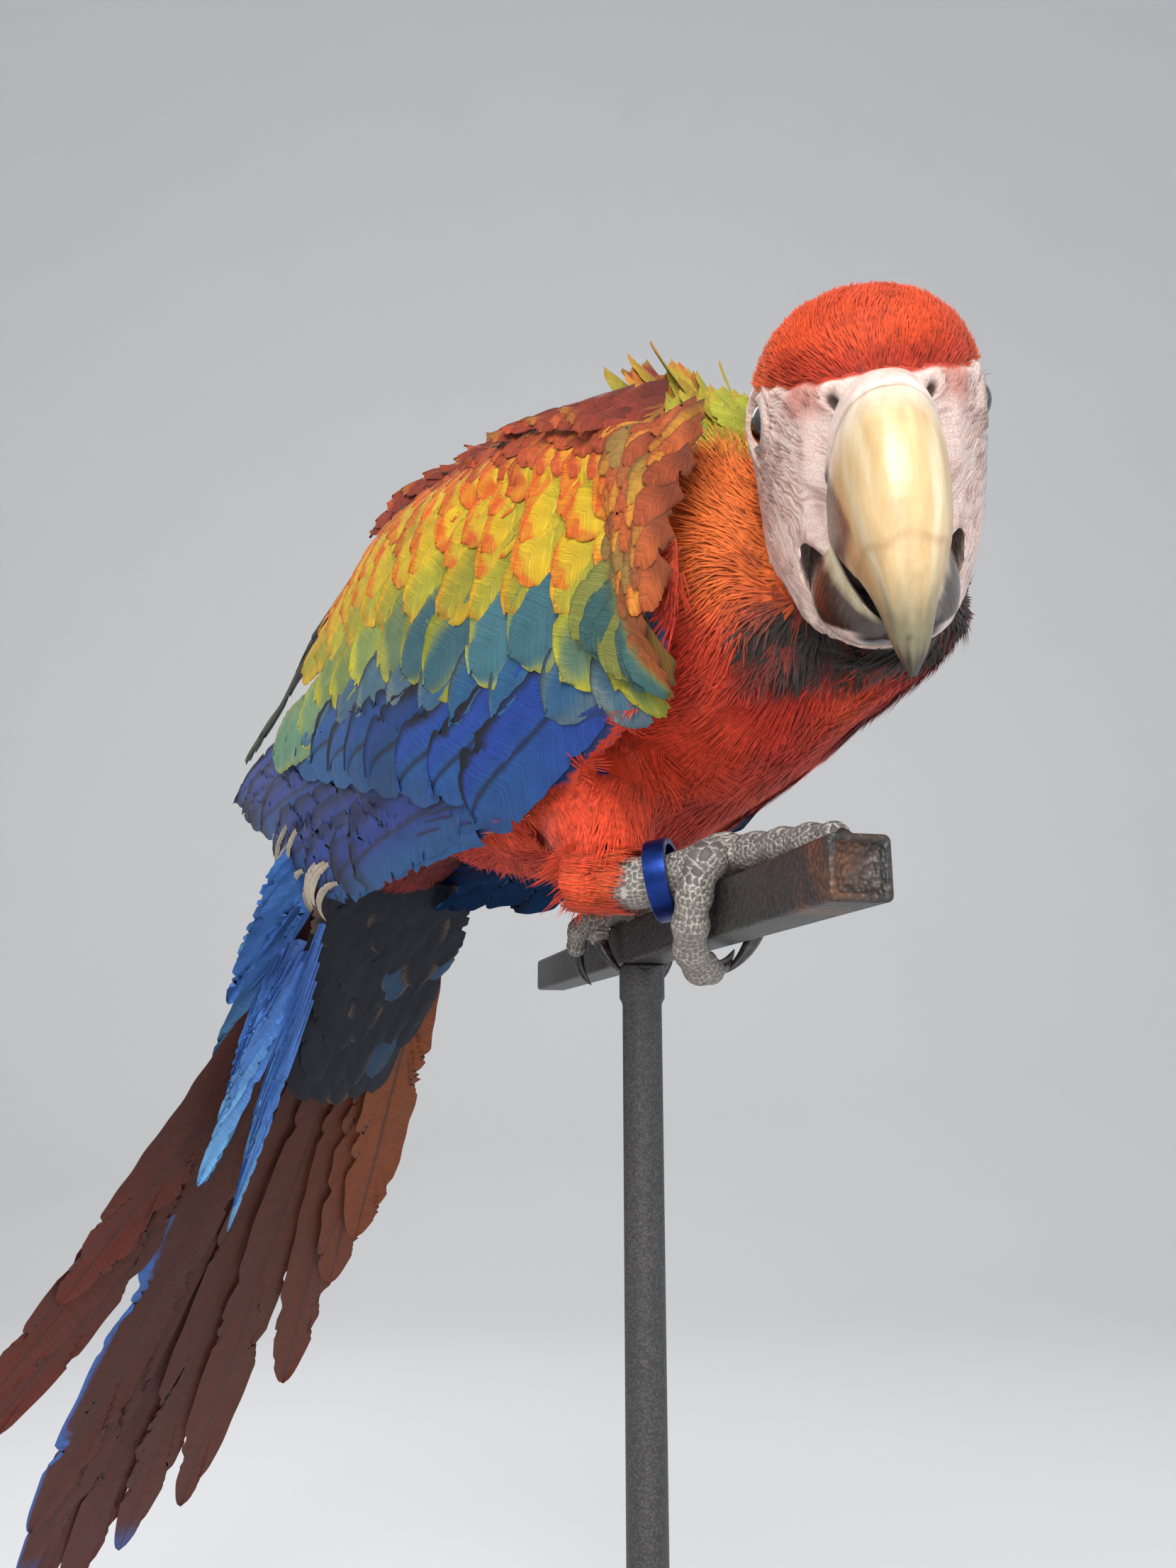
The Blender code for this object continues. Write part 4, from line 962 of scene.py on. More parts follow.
    def cream_paint(i, u, v):
        return np.array((0.56, 0.48, 0.37)) * (0.7 + 0.3 * u[..., None]) * vary(i, 0.15)

    quills = line_up(((170, 22), (186, 20), (202, 24), (216, 33)), 9, (38, 46), (1.3, 1.6), 0.4,
                     14.0, (3.0, 7.0))
    lay("frayed_quills", quills, (30, 4), (0.5, 0.6, 9, 0.7, 3.0, 0.2, 0.3), "covert", cream_paint)

    def alula_paint(i, u, v):
        tint = mix((0.16, 0.17, 0.035), (0.030, 0.085, 0.085), ramp(0.2, 0.7, u) * (np.sin(i * 2.2) > -0.4))
        return painted_shade(mix(tint, (0.34, 0.085, 0.016), ramp(0.5, 0.2, u)) * vary(i, 0.12), u, v)

    alula = line_up(((-60, 46), (-48, 53), (-40, 61)), 6, (26, 30), (8.5, 8.0), 4.4, 6.0, (1.0, 5.0))
    lay("alula", alula, (30, 12), (0.66, 0.75, 4, 0.3, 1.6, 0.5, 0.15), "covert", alula_paint)
    return made


# ---------------------------------------------------------------- beak and eyes

CULMEN_START = np.array((-33.0, 10.5))
CULMEN_TIP = np.array((-63.7, -47.8))
CULMEN_RISE = 15.5
# The worn step's height, and where along the upper beak it begins and ends
WORN_STEP = 0.28
WORN_FROM, WORN_TO = 0.615, 0.60
# along the beak 0..1: inner edge y and z, half width
UPPER_STATIONS = (
    (0.0, -17.0, -21.0, 13.6), (0.2, -27.0, -24.5, 14.2), (0.4, -38.0, -27.0, 12.8), (0.6, -47.5, -29.5, 10.6),
    (0.8, -56.0, -36.0, 7.6), (0.93, -61.0, -43.0, 4.4), (1.0, -63.0, -47.2, 1.2))
# along the lower beak 0..1: upper edge y and z, lower edge y and z, half width
LOWER_STATIONS = (
    (0.0, -13.0, -17.0, -8.0, -42.0, 20.0), (0.25, -22.0, -22.0, -16.0, -46.0, 21.0),
    (0.5, -31.0, -28.0, -26.0, -47.6, 20.0), (0.75, -39.0, -34.0, -36.0, -47.6, 15.6),
    (0.92, -44.5, -38.5, -43.0, -46.2, 9.6), (1.0, -46.5, -41.0, -46.0, -44.5, 4.4))


def curve(stations, at):
    """Values on a smooth curve through stations of (place, values)."""
    table = np.array(sorted(stations), float)
    places, values = table[:, 0], table[:, 1:]
    slopes = np.gradient(values, places, axis=0)
    at = np.clip(np.asarray(at, float), places[0], places[-1])
    i = np.clip(np.searchsorted(places, at) - 1, 0, len(places) - 2)
    span = places[i + 1] - places[i]
    t = ((at - places[i]) / span)[..., None]
    span = span[..., None]
    low = (2 * t**3 - 3 * t**2 + 1) * values[i] + (t**3 - 2 * t**2 + t) * span * slopes[i]
    return low + (3 * t**2 - 2 * t**3) * values[i + 1] + (t**3 - t**2) * span * slopes[i + 1]


def culmen(t):
    """Points of the upper beak's ridge, on an arc from the cere to the tip."""
    chord = CULMEN_TIP - CULMEN_START
    length = float(np.linalg.norm(chord))
    radius = (length**2 / 4 + CULMEN_RISE**2) / (2 * CULMEN_RISE)
    ahead = chord / length
    out = np.array((ahead[1], -ahead[0]))
    out = -out if out[0] > 0 else out
    angle = math.asin(length / (2 * radius)) * (2 * t - 1)
    along = length / 2 + radius * np.sin(angle)
    rise = radius * np.cos(angle) - (radius - CULMEN_RISE)
    return CULMEN_START + along[:, None] * ahead + rise[:, None] * out


def closed_rings(rings):
    """Quads round a stack of rings; rings is (levels, corners, 3). The ends close to a point."""
    levels, corners, _ = rings.shape
    points = rings.reshape(-1, 3)
    index = np.arange(levels * corners).reshape(levels, corners)
    after = np.roll(index, -1, axis=1)
    sides = np.stack((index[:-1], after[:-1], after[1:], index[1:]), axis=-1).reshape(-1, 4)
    ends = np.stack((rings[0].mean(axis=0), rings[-1].mean(axis=0)))
    first = len(points)
    caps = [(a, first, first, b) for a, b in zip(index[0], after[0])]
    caps += [(a, first + 1, first + 1, b) for a, b in zip(after[-1], index[-1])]
    return np.concatenate((points, ends)), np.concatenate((sides, np.array(caps)))


def solid_mesh(name, rings, tints, look):
    """A closed tube-like piece from rings, with true triangles at its ends."""
    points, faces = closed_rings(rings)
    uv = ring_uv(rings.shape)
    ends = len(faces) - 2 * rings.shape[1]
    triangles = np.concatenate((halved(faces[:ends]), faces[ends:, [0, 1, 3]]))
    full = np.concatenate((tints.reshape(-1, 3), tints[0].mean(axis=0)[None], tints[-1].mean(axis=0)[None]))
    made = make_mesh(name, points, triangles, full, uv)
    made.data.materials.append(look)
    return made


def ring_uv(shape):
    """A plain unwrap of rings: round them, and along their stack."""
    levels, corners, _ = shape
    s, t = np.meshgrid(np.linspace(0.02, 0.98, levels), np.linspace(0.02, 0.98, corners), indexing="ij")
    uv = np.stack((t, s), axis=-1).reshape(-1, 2)
    return np.concatenate((uv, ((0.5, 0.01), (0.5, 0.99))))


def beak_upper_rings():
    """The hooked upper beak's rings, its cere, fine growth lines and a worn step."""
    levels, half_ring = 110, 72
    t = np.linspace(0.0, 1.0, levels)
    stations = curve(UPPER_STATIONS, t)
    ridge = culmen(t)
    inner = stations[:, :2]
    half_width = stations[:, 2] * (1 - 0.20 * ramp(0.5, 0.85, t))
    angle = np.linspace(0, math.pi, half_ring)
    depth = (1 - np.sin(angle)) ** 1.1
    share = np.sign(np.cos(angle)) * np.abs(np.cos(angle)) ** 0.85
    place = ridge[:, None] + (inner - ridge)[:, None] * depth[None, :, None]
    across = share[None] * half_width[:, None] * (1 - 0.12 * depth)[None]
    outer = np.concatenate((across[..., None], place), axis=-1)
    under_share = np.linspace(-0.8, 0.8, 15)
    drop = 0.86 + 0.10 * np.abs(under_share / 0.8) ** 2
    under_place = ridge[:, None] + (inner - ridge)[:, None] * drop[None, :, None]
    under = np.concatenate(((under_share[None] * half_width[:, None])[..., None], under_place), axis=-1)
    rings = np.concatenate((outer, under), axis=1)
    middle = rings.mean(axis=1, keepdims=True)
    away = unit(rings - middle)
    grow = 0.018 * np.sin(t * 150 + 2.0 * np.sin(t * 17)) * ramp(0.02, 0.1, t)
    grow = grow + 0.6 * ramp(0.105, 0.085, t) - 0.25 * np.exp(-((t - 0.108) / 0.006) ** 2)
    wave = 0.02 * np.sin(np.concatenate((angle, np.zeros(len(under_share)))) * 5.0).mean()
    step = WORN_STEP * ramp(WORN_FROM, WORN_TO, t + wave)
    return rings + away * (grow + step)[:, None, None], t, depth, angle


def build_beak_upper(look):
    """The upper beak with its markings: cere, ivory streaks, grey wedge and dark tip."""
    rings, t, depth, angle = beak_upper_rings()
    levels, half_ring = len(t), len(angle)
    flat = rings.reshape(-1, 3)
    u = np.repeat(t, rings.shape[1])
    deep = np.tile(np.concatenate((depth, np.ones(15))), levels)
    turn = np.tile(np.concatenate((angle, np.full(15, math.pi / 2))), levels)
    streak = lumps(np.stack((turn * 26, u * 9, 0 * u), axis=1), 9.0, 31)
    tint = layered(
        (0.66, 0.47, 0.235),
        ((0.74, 0.60, 0.38), ramp(-0.3, 1.0, streak)),
        ((0.76, 0.64, 0.50), ramp(0.26, 0.12, u)),
        ((0.34, 0.21, 0.15), ramp(0.009, 0.004, np.abs(u - 0.108 + 0.003 * streak)) * 0.6),
        (np.array(FACE_WHITE) * 1.02, ramp(0.106, 0.096, u + 0.003 * streak)),
        ((0.60, 0.36, 0.17), ramp(0.18, 0.6, u) * ramp(0.35, 0.95, deep) * 0.55),
        ((0.56, 0.34, 0.16), np.exp(-((u - 0.605 - 0.012 * np.sin(turn * 7)) / 0.012) ** 2) * 0.55),
        ((0.22, 0.20, 0.115), ramp(0.66, 0.86, u + 0.03 * streak) * 0.95),
        ((0.060, 0.052, 0.036), ramp(0.87, 0.97, u + 0.02 * streak)))
    spot = np.exp(-(((u - 0.875) / 0.010) ** 2 + ((turn - 1.75) / 0.12) ** 2))
    tint = mix(tint, (0.06, 0.05, 0.035), spot * 0.8)
    wedge = ramp(0.46, 0.56, deep + 0.03 * streak + 0.25 * (u - 0.2)) * ramp(0.56, 0.44, u)
    tint = layered(
        tint,
        ((0.075, 0.068, 0.058), wedge * 0.95),
        ((0.05, 0.042, 0.036), (np.tile(np.arange(rings.shape[1]) >= half_ring, levels)) * 1.0))
    return solid_mesh("beak_upper_horn", from_head(flat).reshape(rings.shape), tint.reshape(rings.shape), look)


def beak_lower_rings():
    """The lower beak's rings: a scoop whose rim leans in."""
    levels, half_ring = 72, 64
    t = np.linspace(0.0, 1.0, levels)
    s = curve(LOWER_STATIONS, t)
    top, low, half_width = s[:, :2], s[:, 2:4], s[:, 4]
    angle = np.linspace(0, math.pi, half_ring)
    rise = (1 - np.sin(angle)) ** 1.3
    share = np.sign(np.cos(angle)) * np.abs(np.cos(angle)) ** 0.7
    place = low[:, None] + (top - low)[:, None] * rise[None, :, None]
    lean = (1 - 0.42 * rise**1.5)[None]
    outer = np.concatenate(((share[None] * half_width[:, None] * lean)[..., None], place), axis=-1)
    inside = np.linspace(-0.88, 0.88, 17)
    hollow = low[:, None] + (top - low)[:, None] * (0.62 + 0.36 * np.abs(inside / 0.88) ** 3)[None, :, None]
    inner = np.concatenate(((0.60 * inside[None] * half_width[:, None])[..., None], hollow), axis=-1)
    rings = np.concatenate((outer, inner), axis=1)
    away = unit(rings - rings.mean(axis=1, keepdims=True))
    return rings + away * (0.04 * np.sin(t * 120 + np.sin(t * 11)))[:, None, None], t, rise


def build_beak_lower(look):
    """The lower beak, glossy brown with a pale worn rim."""
    rings, t, rise = beak_lower_rings()
    levels = len(t)
    flat = rings.reshape(-1, 3)
    u = np.repeat(t, rings.shape[1])
    edge = np.tile(np.concatenate((rise, np.full(17, -1.0))), levels)
    streak = lumps(flat, 5.0, 33)
    tint = layered(
        (0.026, 0.016, 0.013),
        ((0.042, 0.026, 0.020), ramp(-0.2, 1.0, streak)),
        ((0.085, 0.055, 0.042), ramp(0.35, 0.8, edge) * 0.5),
        ((0.52, 0.44, 0.30), ramp(0.80, 0.92, edge + 0.03 * streak) * ramp(0.99, 0.9, u)),
        ((0.02, 0.012, 0.012), (edge < 0) * 1.0),
        (FACE_WHITE, ramp(-42.6, -43.4, flat[:, 2]) * ramp(-44.0, -40.0, flat[:, 1])))
    return solid_mesh("beak_lower_horn", from_head(flat).reshape(rings.shape), tint.reshape(rings.shape), look)


def build_eye(word, side, look):
    """An eyeball with a dark iris, a narrow grey rim and a black pupil."""
    levels, corners = 60, 64
    polar = np.linspace(0.0, math.pi, levels)[:, None]
    turn = np.linspace(0, 2 * math.pi, corners, endpoint=False)[None]
    bulge = 1 + 0.05 * np.exp(-(polar / 0.55) ** 2)
    across = EYE_RADIUS * np.sin(polar) * bulge
    look_out = EYE_RADIUS * np.cos(polar) * bulge + 0 * turn
    level = across * np.cos(turn)
    swing = math.radians(24.0)
    rings = np.stack((side * (EYE_OUT + look_out * math.cos(swing) + level * math.sin(swing)), level
                      * math.cos(swing) - look_out * math.sin(swing) - EYE_AHEAD, across
                      * np.sin(turn)), axis=-1)
    ray = 0.5 + 0.5 * np.sin(turn * 23 + 3 * np.sin(turn * 5))
    tint = layered(
        (0.022, 0.018, 0.014),
        ((0.055, 0.048, 0.036), ray * ramp(0.38, 0.5, polar + 0 * turn)),
        ((0.003, 0.003, 0.003), ramp(0.44, 0.40, polar + 0 * turn)),
        ((0.02, 0.017, 0.015), ramp(0.72, 0.80, polar + 0 * turn)))
    return solid_mesh("eyeball_" + word, from_head(rings.reshape(-1, 3)).reshape(rings.shape), tint, look)


# ---------------------------------------------------------------- feet, claws and ring

BAR_TOP = -3.0
BAR_SIDE = 12.7
BAR_AHEAD = 140.0
BAR_BEHIND = 165.0
BAR_YAW = math.radians(27.6)
AHEAD = np.array((-math.sin(BAR_YAW), -math.cos(BAR_YAW), 0.0))
OUT = np.array((-math.cos(BAR_YAW), math.sin(BAR_YAW), 0.0))
UP = np.array((0.0, 0.0, 1.0))
# along the bar, out to the bird's right of it, height and radius
RIGHT_FOOT = {
    "tarsus": ((52.5, 26.0, -0.5, 7.0), (56.5, 19.5, -1.0, 6.4),
               (61.5, 11.5, 0.0, 5.8), (70.0, 2.0, 4.3, 5.6)),
    "toe_3": ((70.2, 2.3, 4.1, 5.3), (82.0, -2.0, 3.2, 4.4), (93.0, -4.0, 2.5, 4.2),
              (104.0, -6.0, 2.0, 3.7), (113.0, -7.6, 1.4, 3.0)),
    "toe_2": ((71.4, 1.2, 4.3, 5.1), (77.0, 8.8, 1.2, 4.4), (76.5, 12.0, -7.0, 4.1),
              (73.5, 12.0, -13.0, 4.2), (67.0, 10.0, -18.5, 4.0),
              (60.5, 5.5, -22.0, 4.1), (56.5, 1.5, -22.6, 3.0)),
    "toe_1": ((71.8, 3.1, 3.4, 5.0), (62.0, -8.0, 1.8, 4.2),
              (57.0, -12.0, -4.0, 3.8), (54.0, -12.0, -11.0, 3.0)),
    "toe_4": ((72.1, 2.4, 3.2, 4.9), (58.0, -2.0, 2.4, 4.2), (46.0, -5.0, 1.4, 4.0),
              (38.0, -9.0, 0.6, 3.6), (33.0, -11.5, -4.0, 3.0)),
}
LEFT_FOOT = {"tarsus": ((-57.0, -18.0, 5.0, 6.8), (-52.0, -12.0, 5.0, 6.3), (-46.0, -6.0, 4.6, 6.0),
                        (-40.0, -1.0, 3.5, 5.6)), "toe_3": ((-40.8, -1.7, 3.3, 5.2), (-31.0, 7.0, 2.4, 4.2),
                                                            (-25.0, 11.4, -1.5, 3.8), (-22.0, 12.0, -7.0, 3.0)),
                                                            "toe_2": ((-39.3, -1.4, 3.7, 5.1),
                                                                      (-48.0, 6.5, 2.4, 4.2),
                                                                      (-54.0, 11.4, -1.5, 3.8),
                                                                      (-57.0, 12.0, -7.5, 3.0)),
                                                                      "toe_1": ((-40.5, 0.2, 3.4, 5.0),
                                                                                (-35.0, -8.5, 1.8, 4.2),
                                                                                (-31.0, -12.0, -4.0, 3.8),
                                                                                (-29.0, -12.0, -11.0, 3.0)),
                                                                                "toe_4": ((-38.9, -0.6, 3.2,
                                                                                           4.9),
                                                                                           (-53.0, -3.0, 2.2,
                                                                                            4.2),
                                                                                            (-64.0, -6.0, 1.4,
                                                                                             4.0),
                                                                                             (-71.0, -9.5, 0.4,
                                                                                              3.6),
                                                                                              (-75.0, -11.5,
                                                                                               -4.0, 3.0)), }
CLAW_LENGTH = 15.0
CLAW_CURL = math.radians(70.0)
CLAW_RADIUS = 2.3
RING_AT = (60.2, 14.3, -0.8)
RING_AXIS = (0.5, -0.86, 0.15)


def from_bar(points):
    """Places along the bar, out from it and above zero, in the bird's frame."""
    points = np.asarray(points, float)
    return points[..., :1] * AHEAD + points[..., 1:2] * OUT + points[..., 2:3] * UP


def frames_along(path):
    """Directions ahead, across and over at each point of a path."""
    ahead = unit(np.gradient(path, axis=0))
    across = unit(np.cross(ahead, UP + 1e-3 * OUT))
    for i in range(1, len(path)):
        if across[i] @ across[i - 1] < 0:
            across[i] = -across[i]
        across[i] = across[i] - ahead[i] * (across[i] @ ahead[i])
        blended = across[i] * 0.3 + across[i - 1] * 0.7
        across[i] = unit(blended - ahead[i] * (blended @ ahead[i]))
    return ahead, across, np.cross(across, ahead)


def tube_rings(path, radii, corners):
    """Round rings along a path, with domed ends."""
    _, across, over = frames_along(path)
    turn = np.linspace(0, 2 * math.pi, corners, endpoint=False)
    circle = np.cos(turn)[None, :, None] * across[:, None] + np.sin(turn)[None, :, None] * over[:, None]
    return path[:, None] + circle * np.asarray(radii)[:, None, None]


def toe_path(stations, count):
    """A fine path and its radii through a toe's stations."""
    table = [(i, *point) for i, point in enumerate(stations)]
    fine = curve(table, np.linspace(0, len(stations) - 1, count))
    return from_bar(fine[:, :3]), fine[:, 3]


def clear_of_bar(points, air=0.15):
    """Move points that lie in the bar out to its nearest face."""
    out = points @ OUT
    over = points[:, 2] - BAR_TOP
    deep = np.stack((-over, BAR_SIDE / 2 - out, BAR_SIDE / 2 + out, over + BAR_SIDE), axis=1) + air
    inside = (deep > 0).all(axis=1)
    nearest = deep.argmin(axis=1)
    ways = np.stack((UP, OUT, -OUT, -UP))
    push = ways[nearest] * deep[np.arange(len(points)), nearest][:, None]
    return points + push * inside[:, None]


def build_foot(word, foot, look):
    """A scaled foot: padded toes, small round scales and broad ones across the top."""
    pieces = []
    seeds = []
    rng = np.random.default_rng(12)
    for toe, stations in foot.items():
        count = 12 * len(stations)
        path, radii = toe_path(stations, count)
        share = np.linspace(0, len(stations) - 1, count)
        radii = radii * (1 + (0.09 if toe != "tarsus" else 0.02) * np.cos(share * 2 * math.pi)) + 0.15
        end = path[-1] - path[-2]
        dome = np.array((0.35, 0.7)) * radii[-1]
        path = np.concatenate((path, path[-1] + unit(end) * dome[:, None]))
        radii = np.concatenate((radii, radii[-1] * np.array((0.88, 0.5))))
        points, faces = closed_rings(tube_rings(path, radii, 20))
        pieces.append((points, halved(faces)))
        ahead, across, over = frames_along(path)
        length = np.concatenate(((0,), np.cumsum(np.linalg.norm(np.diff(path, axis=0), axis=1))))
        broad = toe in ("toe_2", "toe_3")
        for row, at in enumerate(np.arange(0.5, length[-1], 1.5 if broad else 1.45)):
            i = min(int(np.searchsorted(length, at)), len(path) - 1)
            radius = radii[i]
            gap = 1.05 if broad else 0.42
            angles = [0.0] if broad else []
            step = 1.4 / radius
            angles += list(np.arange(gap, 2 * math.pi - gap, step))
            for angle in angles:
                wobble = 0.0 if angle == 0.0 else rng.normal(scale=0.22)
                turned = angle + (row % 2) * step / 2 * (angle != 0.0) + rng.normal(scale=0.05)
                spot = path[i] + radius * (over[i] * math.cos(turned) + across[i]
                                           * math.sin(turned)) + ahead[i] * wobble
                seeds.append(spot)
    points, quads = remeshed(pieces, FOOT_CELL, FOOT_ROUNDS)
    seeds = np.array(seeds)
    tree = kd_tree(seeds)
    nearest = [tree.find_n(point, 2) for point in points]
    owner = np.array([found[0][1] for found in nearest])
    gap = np.array([found[1][2] - found[0][2] for found in nearest])
    dome = ramp(0.0, 0.6, gap)
    normals = point_normals(points, quads)
    points = clear_of_bar(points + normals * (0.26 * dome - 0.14)[:, None])
    shade = np.random.default_rng(5).uniform(0.65, 1.3, len(seeds))[owner]
    tint = np.array((0.105, 0.098, 0.092)) * shade[:, None]
    under = ramp(0.2, -0.5, normals[:, 2])
    tint = layered(
        tint,
        ((0.19, 0.165, 0.145), under * 0.5),
        ((0.47, 0.44, 0.40), ramp(0.30, 0.06, gap)))
    uv = np.stack((0.1 + (points @ AHEAD + 120) / 300, 0.1 + (points @ OUT + 60) / 160 + points[:, 2]
                   * 0.003), axis=1)
    made = make_mesh("foot_scales_" + word, points, halved(quads), tint, uv)
    made.data.materials.append(look)
    return made


def build_cuff(word, foot, look):
    """The thigh's last feathers, which hang over the top of the leg's scales."""
    rng = np.random.default_rng(83)
    start, after = (from_bar(np.array(foot["tarsus"][i][:3])) for i in (0, 1))
    ahead = unit(after - start)
    across = unit(np.cross(ahead, UP))
    count = 260
    turn = rng.uniform(0, 2 * math.pi, count)[:, None]
    away = across * np.cos(turn) + np.cross(ahead, across) * np.sin(turn)
    roots = start - ahead * rng.uniform(2.0, 12.0, (count, 1)) + away * (foot["tarsus"][0][3] + 0.4)
    tints = mix(np.tile(THIGH_RED, (count, 1)), (0.55, 0.10, 0.025), rng.random(count) ** 2)
    size = (rng.uniform(7.0, 14.0, count) * (0.75 + 0.45 * away[:, 2].clip(0)), np.full(count, 2.2))
    return strand_tufts("thigh_cuff_" + word, roots, away, np.tile(ahead, (count, 1)), tints, size, 8, look,
                        spread=0.16, lift=0.08, segments=3)


def build_claw(name, stations, look):
    """A black claw that turns down and in from the end of a toe."""
    ends = from_bar(np.array(stations)[-2:, :3])
    end = ends[1]
    ahead = unit(end - ends[0])
    inward = -UP
    if stations[-1][2] < BAR_TOP:
        inward = unit(from_bar((stations[-1][0], 0.0, stations[-1][2])) - end)
        if stations[-1][2] < BAR_TOP - BAR_SIDE:
            inward = UP
    turn = unit(inward - ahead * (inward @ ahead))
    steps = 34
    point = end - ahead * 1.6
    path = []
    for i in range(steps + 1):
        path.append(point)
        angle = CLAW_CURL * (i / steps + 0.1) * 0.7
        point = point + (ahead * math.cos(angle) + turn * math.sin(angle)) * ((CLAW_LENGTH + 1.6) / steps)
    path = np.array(path)
    share = np.linspace(0, 1, steps + 1)
    radii = (CLAW_RADIUS + 0.25) * (1 - share**1.25) ** 0.75 + 0.12
    rings = tube_rings(path, radii, 28)
    middle = path[:, None]
    squeeze = 1 - 0.18 * np.abs((unit(rings - middle) * np.cross(ahead, turn)).sum(axis=-1, keepdims=True))
    rings = middle + (rings - middle) * squeeze
    rings = clear_of_bar(rings.reshape(-1, 3), 0.05).reshape(rings.shape)
    streak = lumps(rings.reshape(-1, 3), 3.0, 8).reshape(rings.shape[:2])
    tint = layered(
        (0.012, 0.011, 0.011),
        ((0.055, 0.048, 0.042), ramp(0.2, 1.2, streak)),
        ((0.12, 0.105, 0.09), ramp(0.16, 0.06, share)[:, None] + 0 * streak))
    return solid_mesh(name, rings, tint, look)


def turned(profile, middle, axis, corners):
    """Rings of a closed profile of (radius, height) turned about an axis."""
    across = unit(np.cross(axis, UP))
    over = np.cross(axis, across)
    angle = np.linspace(0, 2 * math.pi, corners + 1)
    spoke = np.cos(angle)[:, None] * across + np.sin(angle)[:, None] * over
    return middle + profile[None, :, :1] * spoke[:, None] + profile[None, :, 1:] * axis


def build_ring(look):
    """The closed leg band, with rounded edges worn bright."""
    profile = arcs(((10.0, 2.5, 0), (8.9, 2.5, 90), (8.9, -2.5, 180), (10.0, -2.5, 270)), 0.3, 7)
    rings = turned(profile, from_bar(RING_AT), unit(from_bar(RING_AXIS)), 120)
    levels, corners, _ = rings.shape
    index = np.arange((levels - 1) * corners).reshape(levels - 1, corners)
    after = np.roll(index, -1, axis=0)
    quads = np.stack((index, np.roll(index, -1, axis=1), np.roll(after, -1, axis=1), after),
                     axis=-1).reshape(-1, 4)
    rim = np.hypot(np.abs(profile[:, 0] - 9.45) - 0.85, np.abs(profile[:, 1]) - 2.8) < 0.22
    points = rings[:-1].reshape(-1, 3)
    worn = np.tile(rim, levels - 1) * (0.55 + 0.45 * lumps(points, 4.0, 2))
    tint = mix((0.007, 0.028, 0.17), (0.13, 0.20, 0.42), np.clip(worn, 0, 1))
    s, t = np.meshgrid(np.linspace(0.02, 0.98, levels - 1), np.linspace(0.02, 0.6, corners), indexing="ij")
    made = make_mesh("leg_band", points, quads, tint, np.stack((s, t), axis=-1).reshape(-1, 2))
    made.data.materials.append(look)
    return made


# ---------------------------------------------------------------- bar and stand

def rounded(half_x, half_y, radius, steps=6):
    """Corners of a rounded rectangle, counter-clockwise."""
    x, y = half_x - radius, half_y - radius
    return arcs(((x, y, 0), (-x, y, 90), (-x, -y, 180), (x, -y, 270)), radius, steps)


def build_bar(look):
    """The cut length of square tube, with a plug let into each end."""
    half = BAR_SIDE / 2
    end = ((1.2, half - 1.6, 0.7), (0.0, half - 1.5, 0.7), (0.0, half - 0.35, 1.2), (0.4, half, 1.4))
    rows = [(inward - BAR_BEHIND, size, corner) for inward, size, corner in end]
    rows += [(place, half, 1.4) for place in np.linspace(-BAR_BEHIND + 3, BAR_AHEAD - 3, 60)]
    rows += [(BAR_AHEAD - inward, size, corner) for inward, size, corner in end[::-1]]
    rings = []
    for place, size, corner in rows:
        ring = rounded(size, size, corner)
        rings.append(from_bar(np.column_stack((np.full(len(ring), place), ring[:, 0], ring[:, 1]
                                               + BAR_TOP - half))))
    rings = np.array(rings)[::-1]
    flat = rings.reshape(-1, 3)
    along = flat @ AHEAD
    rust = ramp(0.1, 1.1, lumps(flat, 14.0, 51) + 0.7 * lumps(flat, 4.0, 52)) * ramp(96, 128, along)
    tint = mix((0.030, 0.027, 0.025), (0.16, 0.060, 0.022), rust)
    return solid_mesh("perch_tube", rings, tint.reshape(rings.shape), look)


STAND_LOW = -400.0
STAND_MIDDLE = (-2.0, 36.0)
STAND_HALF = (120.0, 150.0)
STAND_TOP = 16.0
STEEL_GREY = (0.05, 0.05, 0.052)


def build_stand(look):
    """A plain flat base with a rounded rim, and a rod with a turned collar."""
    low = STAND_LOW
    rows = []
    for height, inset in ((0.0, 1.2), (0.4, 0.4), (1.2, 0.0), (13.2, 0.0), (14.6, 0.45), (15.6, 1.6),
                          (STAND_TOP, 3.2), (STAND_TOP, 60.0), (STAND_TOP, 100.0)):
        ring = rounded(STAND_HALF[0] - inset, STAND_HALF[1] - inset, 12.0 if inset < 12 else 6.0, 9)
        rows.append(np.column_stack((ring + STAND_MIDDLE, np.full(len(ring), low + height))))
    rings = np.array(rows)
    base = solid_mesh("stand_plate", rings, np.zeros(rings.shape) + STEEL_GREY, look)
    foot = from_bar((-16.0, 0.0, 0.0))
    top = BAR_TOP - BAR_SIDE - 0.3
    profile = ((10.5, low + 16.3), (10.8, low + 16.8), (10.8, low + 25.0), (10.2, low + 26.4),
               (7.4, low + 27.0), (6.0, low + 29.0), (6.0, low + 200.0), (6.0, top - 12.0), (6.3, top - 11.0),
               (6.9, top - 10.0), (6.9, top - 0.6), (6.6, top))
    angle = np.linspace(0, 2 * math.pi, 72, endpoint=False)
    rings = np.array([[(foot[0] + r * math.cos(a), foot[1] + r * math.sin(a), z) for a in angle] for r,
                      z in profile])
    rod = solid_mesh("stand_post", rings, np.zeros(rings.shape) + STEEL_GREY, look)
    return base, rod


# ---------------------------------------------------------------- tail

